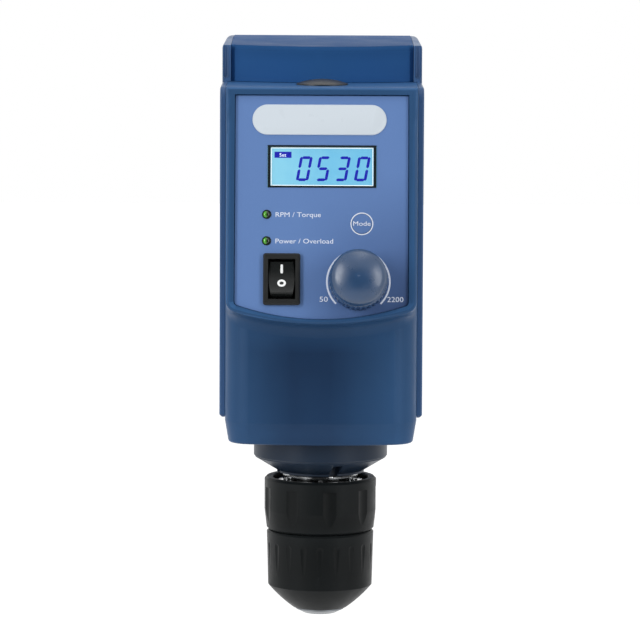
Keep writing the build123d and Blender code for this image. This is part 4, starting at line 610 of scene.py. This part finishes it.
class StirrerStudio(bpy.types.PropertyGroup):
    """The camera and the lights."""

    distance: bpy.props.FloatProperty(
        name="Camera Distance", description="Distance from the camera to the aim point", default=1.8,
        subtype="DISTANCE", unit="LENGTH",
    )
    elevation: bpy.props.FloatProperty(
        name="Camera Elevation", description="Height of the camera as an angle", default=radians(6.0), subtype="ANGLE",
    )
    roll: bpy.props.FloatProperty(
        name="Camera Roll", description="Slight roll of the camera", default=radians(0.27), subtype="ANGLE",
    )
    aim_across: bpy.props.FloatProperty(
        name="Aim Across", description="Sideways offset of the aim point", default=-0.00045, subtype="DISTANCE",
        unit="LENGTH", precision=5,
    )
    aim_height: bpy.props.FloatProperty(
        name="Aim Height", description="Height of the aim point on the spindle's axis", default=0.12184,
        subtype="DISTANCE", unit="LENGTH", precision=5,
    )
    lens: bpy.props.FloatProperty(name="Lens", description="Focal length in millimetres", default=245.2)
    key_power: bpy.props.FloatProperty(name="Left Lamp", description="Power of the left soft lamp", default=8.0)
    fill_power: bpy.props.FloatProperty(name="Right Lamp", description="Power of the right soft lamp", default=5.0)
    top_power: bpy.props.FloatProperty(name="Top Lamp", description="Power of the overhead soft lamp", default=2.0)
    ambient: bpy.props.FloatProperty(name="Ambient", description="Strength of the room's light", default=0.5)


# ---------------------------------------------------------------- pieces

class STIRRER_OT_housing(bpy.types.Operator):
    """Paints the cast housing, its cover, hood, collar and plug"""

    bl_idname = "stirrer.housing"
    bl_label = "Housing and Covers"

    def execute(self, context):
        colors = context.scene.stirrer_finishes
        dress(enamel_in_shade("housing_enamel", colors.housing, colors.housing_shade), "front_housing")
        dress(painted_casting("cover_enamel", colors.cover), "rear_cover")
        dress(painted_casting("hood_enamel", colors.hood, specular=0.01, coat=0.0), "top_hood")
        dress(painted_casting("collar_enamel", colors.collar, 0.3), "spindle_cartridge", "nose_ring")
        dress(soft_rubber("plug_rubber", linear(30, 31, 33)), "shaft_plug")
        return {"FINISHED"}


class STIRRER_OT_panel(bpy.types.Operator):
    """Prints the control panel and finishes its bare badge, key and lamps"""

    bl_idname = "stirrer.panel"
    bl_label = "Control Panel"

    def execute(self, context):
        colors = context.scene.stirrer_finishes
        film = printed_film("panel_film", colors.film, colors.film_shade)
        dress(film, "control_panel")
        dress(moulded_plastic("badge_silver", colors.badge, 0.32, 0.15, 1800.0), "badge_plate")
        # The key cap shares the film's painted shade toward the lower right.
        dress(printed_film("key_cap", colors.film, colors.film_shade), "mode_key")
        dress(lit_lamp("lamp_glow", linear(70, 150, 30), 0.4, LAMPS_ACROSS * MM), "upper_lamp", "lower_lamp")
        # The white print's small glow is painted light.
        ink = screen_ink("white_ink", linear(232, 238, 250), 0.12)
        lettering("upper_words", "RPM / Torque", 2.0, (-18.6, UPPER_LAMP_DOWN + 1.0), 18.3, ink)
        lettering("lower_words", "Power / Overload", 2.0, (-18.6, LOWER_LAMP_DOWN + 1.0), 23.3, ink)
        lettering("dial_low", "50", 2.15, (-0.65, 84.2), 3.3, ink)
        lettering("dial_high", "2200", 2.15, (26.65, 84.2), 6.5, ink)
        baseline = (KEY_CENTRE[0], KEY_CENTRE[1] + 0.8)
        lettering("key_word", "Mode", 1.9, baseline, 7.0, ink, body="key", align="CENTER", out=0.14)
        bm = bmesh.new()
        raised_band(bm, circle_points(KEY_CENTRE, 4.2, 72), circle_points(KEY_CENTRE, 4.6, 72))
        solid_of("key_ring", bm, ink, "head")
        return {"FINISHED"}


class STIRRER_OT_lamp_rings(bpy.types.Operator):
    """Sets each lamp in a small dark bezel"""

    bl_idname = "stirrer.lamp_rings"
    bl_label = "Lamp Bezels"

    def execute(self, context):
        black = moulded_plastic("lamp_bezel", linear(12, 22, 18), 0.3, 0.2)
        count = 48
        for name, down in (("upper_bezel", UPPER_LAMP_DOWN), ("lower_bezel", LOWER_LAMP_DOWN)):
            bm = bmesh.new()
            rows = []
            for radius, level in BEZEL_OUTLINE:
                circle = circle_points((LAMPS_ACROSS, down), radius, count)
                rows.append([bm.verts.new(panel_point(x, y, level)) for x, y in circle])
            for first, second in zip(rows, rows[1:] + rows[:1]):
                for i in range(count):
                    j = (i + 1) % count
                    bm.faces.new((first[i], first[j], second[j], second[i]))
            for face in bm.faces:
                face.smooth = True
            solid_of(name, bm, black, "head")
        return {"FINISHED"}


class STIRRER_OT_display(bpy.types.Operator):
    """Lights the display and writes its digits"""

    bl_idname = "stirrer.display"
    bl_label = "Display"

    def execute(self, context):
        shown = context.scene.stirrer_display
        dress(moulded_plastic("display_bezel", linear(16, 24, 26), 0.35, 0.2), "display_frame")
        dress(clear_window("display_clear"), "display_window")
        dress(lit_glass("display_lit", linear(118, 200, 240), linear(152, 224, 248), shown.glow), "display_module")
        ink = screen_ink("digit_ink", linear(4, 12, 185), 0.3)
        pale = screen_ink("display_edge", linear(238, 252, 255), 0.85)
        height = shown.digit_height / MM
        width = shown.digit_width / MM
        bm = bmesh.new()
        for digit, across in zip(shown.reading, DIGITS_ACROSS):
            self.digit(bm, digit, across, width, height, tan(shown.digit_slant))
        solid_of("display_digits", bm, ink, "head")
        bm = bmesh.new()
        corners = [(FLAG_LEFT, FLAG_TOP), (FLAG_RIGHT, FLAG_TOP), (FLAG_RIGHT, FLAG_FOOT), (FLAG_LEFT, FLAG_FOOT)]
        raised_print(bm, corners, GLASS_LOW, GLASS_HIGH)
        solid_of("display_flag", bm, ink, "head")
        lettering("display_flag_word", "Set", 1.5, (-15.8, 24.9), 2.7, pale, align="CENTER", out=-0.87)
        self.edge(pale)
        return {"FINISHED"}

    def edge(self, material):
        """The bright line just inside the display's surround."""
        rows = []
        for inset in (DISPLAY_EDGE_WIDTH, 0.0):
            half_x, half_y = DISPLAY_HALF[0] - inset, DISPLAY_HALF[1] - inset
            corners = ((-half_x, -half_y), (half_x, -half_y), (half_x, half_y), (-half_x, half_y))
            rows.append([(DISPLAY_CENTRE[0] + x, DISPLAY_CENTRE[1] + y) for x, y in corners])
        bm = bmesh.new()
        raised_band(bm, *rows, low=GLASS_LOW, high=GLASS_HIGH + 0.01)
        solid_of("display_border", bm, material, "head")

    def digit(self, bm, digit, across, width, height, slant):
        """One slanted seven-segment digit."""
        half_w, half_h, tip = width / 2, height / 2, STROKE / 2
        for letter in SEGMENTS[digit]:
            if letter in "adg":
                level = {"a": half_h - tip, "g": 0.0, "d": -half_h + tip}[letter]
                x = half_w - tip - STROKE_GAP
                shape = [(-x, level), (-x + tip, level + tip), (x - tip, level + tip), (x, level),
                         (x - tip, level - tip), (-x + tip, level - tip)]
            else:
                side = half_w - tip if letter in "bc" else -half_w + tip
                low, high = (STROKE_GAP, half_h - STROKE_GAP) if letter in "bf" else (-half_h + STROKE_GAP, -STROKE_GAP)
                shape = [(side, low), (side + tip, low + tip), (side + tip, high - tip), (side, high),
                         (side - tip, high - tip), (side - tip, low + tip)]
            outline = [(across + x + y * slant, DIGITS_DOWN - y) for x, y in shape]
            raised_print(bm, outline, GLASS_LOW, GLASS_HIGH)


class STIRRER_OT_dial(bpy.types.Operator):
    """Prints the dial arc and finishes the speed knob"""

    bl_idname = "stirrer.dial"
    bl_label = "Dial and Knob"

    def execute(self, context):
        colors = context.scene.stirrer_finishes
        shown = context.scene.stirrer_display
        # The dial print's small glow is painted light.
        ink = screen_ink("dial_ink", linear(226, 234, 250), 0.1)
        radius = shown.dial_radius / MM
        half_line = 0.35
        first, last = 90 - degrees(shown.dial_sweep) / 2, 90 + degrees(shown.dial_sweep) / 2
        inner = arc_points(DIAL_CENTRE, radius - half_line, first, last, 97)
        outer = arc_points(DIAL_CENTRE, radius + half_line, first, last, 97)
        bm = bmesh.new()
        raised_band(bm, inner, outer, closed=False)
        solid_of("dial_arc", bm, ink, "head")
        dress(moulded_plastic("knob_moulding", colors.knob, 0.31, 0.08, specular=0.75, wear=1.05), "speed_knob")
        dress(turned_metal("shaft_steel", linear(165, 167, 170)), "speed_control_shaft")
        dress(zinc_sheet("control_case", linear(170, 172, 172)), "speed_control_body", "speed_control_nut")
        return {"FINISHED"}


class STIRRER_OT_switch(bpy.types.Operator):
    """Finishes the rocker switch and its two marks"""

    bl_idname = "stirrer.switch"
    bl_label = "Rocker Switch"

    def execute(self, context):
        dress(moulded_plastic("switch_bezel", linear(30, 31, 31), 0.45, 0.35), "switch_frame")
        dress(moulded_plastic("rocker_black", linear(22, 24, 24), 0.26, 0.15), "rocker_paddle")
        dress(turned_metal("terminal_brass", linear(200, 170, 110)), "switch_terminals")
        # The marks' small glow is painted light.
        ink = screen_ink("mark_white", linear(246, 248, 248), 0.15)
        surface = node_surface("rocker_paddle")
        bm = bmesh.new()
        bar = self.bar_points(1.0, 3.6)
        core = [(ROCKER_ACROSS + (x - ROCKER_ACROSS) * 0.05, BAR_DOWN + (y - BAR_DOWN) * 0.05) for x, y in bar]
        draped_band(bm, surface, core, bar)
        draped_band(bm, surface, self.ring_points(0.85, 0.65), self.ring_points(1.75, 1.5))
        solid_of("rocker_marks", bm, ink, "rocker")
        return {"FINISHED"}

    def turn(self, count):
        """Angles round a full turn."""
        return [2 * pi * i / count for i in range(count)]

    def ring_points(self, half_width, half_height):
        """An oval outline of the off mark."""
        return [(ROCKER_ACROSS + half_width * cos(a), RING_DOWN - half_height * sin(a)) for a in self.turn(40)]

    def bar_points(self, width, height):
        """The rounded bar of the on mark."""
        points = []
        for a in self.turn(32):
            x = (abs(cos(a)) ** 0.35) * (1 if cos(a) > 0 else -1) * width / 2
            y = (abs(sin(a)) ** 0.25) * (1 if sin(a) > 0 else -1) * height / 2
            points.append((ROCKER_ACROSS + x, BAR_DOWN - y))
        return points


class STIRRER_OT_chuck(bpy.types.Operator):
    """Finishes the keyless chuck and the spindle"""

    bl_idname = "stirrer.chuck"
    bl_label = "Chuck and Spindle"

    def execute(self, context):
        colors = context.scene.stirrer_finishes
        sleeve = moulded_plastic("sleeve_black", colors.chuck, 0.4, 0.3, 2600.0, 0.12)
        dress(sleeve, "chuck_front_sleeve", "chuck_rear_sleeve")
        dress(chuck_metal("chuck_steel", linear(126, 130, 134), linear(226, 228, 230)), "chuck_body")
        dress(turned_metal("spindle_steel", linear(158, 162, 166)), "hollow_spindle")
        dress(turned_metal("jaw_steel", linear(120, 122, 126), 0.34), "chuck_jaw_1", "chuck_jaw_2", "chuck_jaw_3",
              "scroll_nut", "thrust_ring")
        dress(plated_metal("ring_chrome", linear(214, 216, 218)), "lock_ring")
        dress(plated_metal("screw_bright", linear(190, 192, 194), 0.2), "neck_screws")
        return {"FINISHED"}


class STIRRER_OT_rear(bpy.types.Operator):
    """Finishes the rod, the inlet and the screws at the back"""

    bl_idname = "stirrer.rear"
    bl_label = "Rear Fittings"

    def execute(self, context):
        dress(plated_metal("rod_chrome", linear(208, 210, 213), 0.14), "support_rod")
        dress(turned_metal("boss_steel", linear(150, 152, 155), axis="Y"), "rod_boss")
        dress(zinc_sheet("zinc_fixings", linear(176, 178, 176)), "rod_nut", "chassis_screws", "machine_screws",
              "cover_screws")
        dress(moulded_plastic("inlet_black", linear(24, 24, 25), 0.4, 0.4), "power_inlet", "fuse_drawer")
        dress(turned_metal("pin_brass", linear(206, 180, 128)), "inlet_pins")
        return {"FINISHED"}


class STIRRER_OT_works(bpy.types.Operator):
    """Finishes the motor, the drive, the boards and the chassis inside"""

    bl_idname = "stirrer.works"
    bl_label = "Inner Works"

    def execute(self, context):
        dress(zinc_sheet("chassis_zinc", linear(168, 171, 172)), "chassis", "motor_case")
        dress(turned_metal("bearing_steel", linear(170, 172, 176), 0.2), "bearing_outer_rings", "bearing_inner_rings",
              "bearing_cages", "bearing_circlip", "motor_shaft", "motor_rotor")
        dress(turned_metal("pulley_aluminium", linear(196, 198, 200), 0.32), "spindle_pulley", "motor_pulley",
              "motor_end_plate")
        dress(soft_rubber("belt_rubber", linear(28, 28, 29)), "drive_belt", "shaft_seal")
        dress(laminated_iron("stator_iron", linear(96, 96, 98)), "motor_stator")
        dress(wound_copper("winding_copper", linear(190, 110, 70)), "motor_windings")
        dress(circuit_board("board_green", linear(20, 92, 56)), "control_board", "power_board")
        dress(moulded_plastic("component_black", linear(34, 35, 38), 0.4), "board_parts", "power_parts")
        return {"FINISHED"}


class STIRRER_OT_shading(bpy.types.Operator):
    """Shades every rounded packed surface smoothly and keeps its sharp edges"""

    bl_idname = "stirrer.shading"
    bl_label = "Surface Shading"

    def execute(self, context):
        for node in NODES.values():
            mesh = node.data
            mesh.polygons.foreach_set("use_smooth", [True] * len(mesh.polygons))
            mesh.set_sharp_from_angle(angle=radians(28))
        return {"FINISHED"}


class STIRRER_OT_stage(bpy.types.Operator):
    """Sets the floor, the soft lamps, the white surroundings and the camera"""

    bl_idname = "stirrer.stage"
    bl_label = "Studio"

    def execute(self, context):
        studio = context.scene.stirrer_studio
        scene = context.scene
        scene.view_settings.view_transform = "Standard"
        self.world(scene, studio.ambient)
        self.floor()
        self.screen()
        self.lamp("left_softbox", (-1.02, -0.92, 0.60), 0.30, 0.9, studio.key_power)
        self.lamp("right_softbox", (1.02, -0.95, 0.52), 0.28, 0.9, studio.fill_power)
        self.lamp("overhead_softbox", (0.15, -0.25, 1.25), 0.7, 0.6, studio.top_power)
        self.camera(scene, studio)
        return {"FINISHED"}

    def world(self, scene, ambient):
        """A room that is white to the camera and in reflections, and gives an even light."""
        world = bpy.data.worlds.new("studio_world")
        world.use_nodes = True
        scene.world = world
        tree = world.node_tree
        room = tree.nodes["Background"]
        room.inputs["Color"].default_value = WHITE
        room.inputs["Strength"].default_value = ambient
        white = tree.nodes.new("ShaderNodeBackground")
        white.inputs["Color"].default_value = WHITE
        white.inputs["Strength"].default_value = 1.0
        mix = tree.nodes.new("ShaderNodeMixShader")
        tree.links.new(seen_rays(tree), mix.inputs["Fac"])
        tree.links.new(room.outputs["Background"], mix.inputs[1])
        tree.links.new(white.outputs["Background"], mix.inputs[2])
        tree.links.new(mix.outputs["Shader"], tree.nodes["World Output"].inputs["Surface"])

    def floor(self):
        """A wide pale floor, well below the part that is held up."""
        finish = Finish("floor_paper")
        tone = finish.spread(finish.noise(3.0), 0.69, 0.73)
        paper = finish.node("ShaderNodeCombineColor", {"Red": tone, "Green": tone, "Blue": tone}).outputs["Color"]
        finish.set(Base_Color=paper, Roughness=0.7)
        glow = finish.node("ShaderNodeEmission", {"Color": WHITE, "Strength": 0.66})
        none = finish.node("ShaderNodeEmission", {"Strength": 0.0})
        lift = finish.node("ShaderNodeMixShader", {"Fac": seen_rays(finish.tree)})
        finish.feed(lift.inputs[1], none.outputs["Emission"])
        finish.feed(lift.inputs[2], glow.outputs["Emission"])
        both = finish.node("ShaderNodeAddShader")
        finish.feed(both.inputs[0], finish.shader.outputs["BSDF"])
        finish.feed(both.inputs[1], lift.outputs["Shader"])
        finish.feed(finish.output.inputs["Surface"], both.outputs["Shader"])
        bm = bmesh.new()
        bmesh.ops.create_grid(bm, x_segments=8, y_segments=8, size=6.0)
        floor = linked_object("studio_floor", bm, finish.material)
        floor.location = (0.0, 0.0, FLOOR_HEIGHT)

    def screen(self):
        """A dark screen in front, seen in reflections alone, which keeps the middle of the shiny fronts deep."""
        finish = Finish("screen_felt")
        tone = finish.spread(finish.noise(40.0), 0.02, 0.035)
        felt = finish.node("ShaderNodeCombineColor", {"Red": tone, "Green": tone, "Blue": tone}).outputs["Color"]
        finish.set(Base_Color=felt, Roughness=0.9)
        path = finish.node("ShaderNodeLightPath")
        clear = finish.node("ShaderNodeBsdfTransparent")
        view = finish.node("ShaderNodeMixShader", {"Fac": path.outputs["Is Camera Ray"]})
        finish.feed(view.inputs[1], finish.shader.outputs["BSDF"])
        finish.feed(view.inputs[2], clear.outputs["BSDF"])
        finish.feed(finish.output.inputs["Surface"], view.outputs["Shader"])
        bm = bmesh.new()
        corners = ((-1.3, -1.3), (1.3, -1.3), (1.3, 1.7), (-1.3, 1.7))
        bm.faces.new([bm.verts.new((x, SCREEN_Y, z)) for x, z in corners])
        screen = linked_object("studio_screen", bm, finish.material)

    def lamp(self, name, place, width, height, power):
        """A soft rectangular lamp that faces the instrument."""
        data = bpy.data.lights.new(name, "AREA")
        data.shape = "RECTANGLE"
        data.size = width
        data.size_y = height
        data.energy = power
        lamp = bpy.data.objects.new(name, data)
        lamp.location = place
        aim = Vector((0.0, 0.0, 0.12)) - Vector(place)
        lamp.rotation_euler = aim.to_track_quat("-Z", "Y").to_euler()
        bpy.context.scene.collection.objects.link(lamp)

    def camera(self, scene, studio):
        """A long lens in front of the instrument, a little above it."""
        data = bpy.data.cameras.new("studio_camera")
        data.lens = studio.lens
        data.sensor_width = 36.0
        data.clip_end = 50.0
        camera = bpy.data.objects.new("studio_camera", data)
        aim = Vector((studio.aim_across, 0.0, studio.aim_height))
        back = Vector((0.0, -cos(studio.elevation), sin(studio.elevation)))
        camera.location = aim + back * studio.distance
        turn = (-back).to_track_quat("-Z", "Y").to_matrix().to_4x4()
        camera.rotation_euler = (turn @ Matrix.Rotation(studio.roll, 4, "Z")).to_euler()
        scene.collection.objects.link(camera)
        scene.camera = camera


# ---------------------------------------------------------------- sidebar and running

class STIRRER_PT_panel(bpy.types.Panel):
    """Lists the steps that build the stirrer's look."""

    bl_idname = "STIRRER_PT_panel"
    bl_label = "Overhead Stirrer"
    bl_space_type = "VIEW_3D"
    bl_region_type = "UI"
    bl_category = "Stirrer"

    def draw(self, context):
        layout = self.layout
        for group in (context.scene.stirrer_finishes, context.scene.stirrer_display, context.scene.stirrer_studio):
            column = layout.column()
            for key in group.bl_rna.properties.keys():
                if key not in ("rna_type", "name"):
                    column.prop(group, key)
        for operator in OPERATORS:
            layout.operator(operator.bl_idname)


OPERATORS = (
    STIRRER_OT_housing,
    STIRRER_OT_panel,
    STIRRER_OT_lamp_rings,
    STIRRER_OT_display,
    STIRRER_OT_dial,
    STIRRER_OT_switch,
    STIRRER_OT_chuck,
    STIRRER_OT_rear,
    STIRRER_OT_works,
    STIRRER_OT_shading,
    STIRRER_OT_stage,
)
CLASSES = (StirrerFinishes, StirrerDisplay, StirrerStudio, *OPERATORS, STIRRER_PT_panel)


def register():
    """Registers the classes and the scene's settings."""
    for item in CLASSES:
        bpy.utils.register_class(item)
    bpy.types.Scene.stirrer_finishes = bpy.props.PointerProperty(type=StirrerFinishes)
    bpy.types.Scene.stirrer_display = bpy.props.PointerProperty(type=StirrerDisplay)
    bpy.types.Scene.stirrer_studio = bpy.props.PointerProperty(type=StirrerStudio)


def unregister():
    """Takes the classes and the scene's settings away again."""
    del bpy.types.Scene.stirrer_studio
    del bpy.types.Scene.stirrer_display
    del bpy.types.Scene.stirrer_finishes
    for item in reversed(CLASSES):
        bpy.utils.unregister_class(item)


def main():
    """Builds everything in order."""
    register()
    bpy.ops.stirrer.housing()
    bpy.ops.stirrer.panel()
    bpy.ops.stirrer.lamp_rings()
    bpy.ops.stirrer.display()
    bpy.ops.stirrer.dial()
    bpy.ops.stirrer.switch()
    bpy.ops.stirrer.chuck()
    bpy.ops.stirrer.rear()
    bpy.ops.stirrer.works()
    bpy.ops.stirrer.shading()
    bpy.ops.stirrer.stage()


if __name__ == "__main__":
    main()
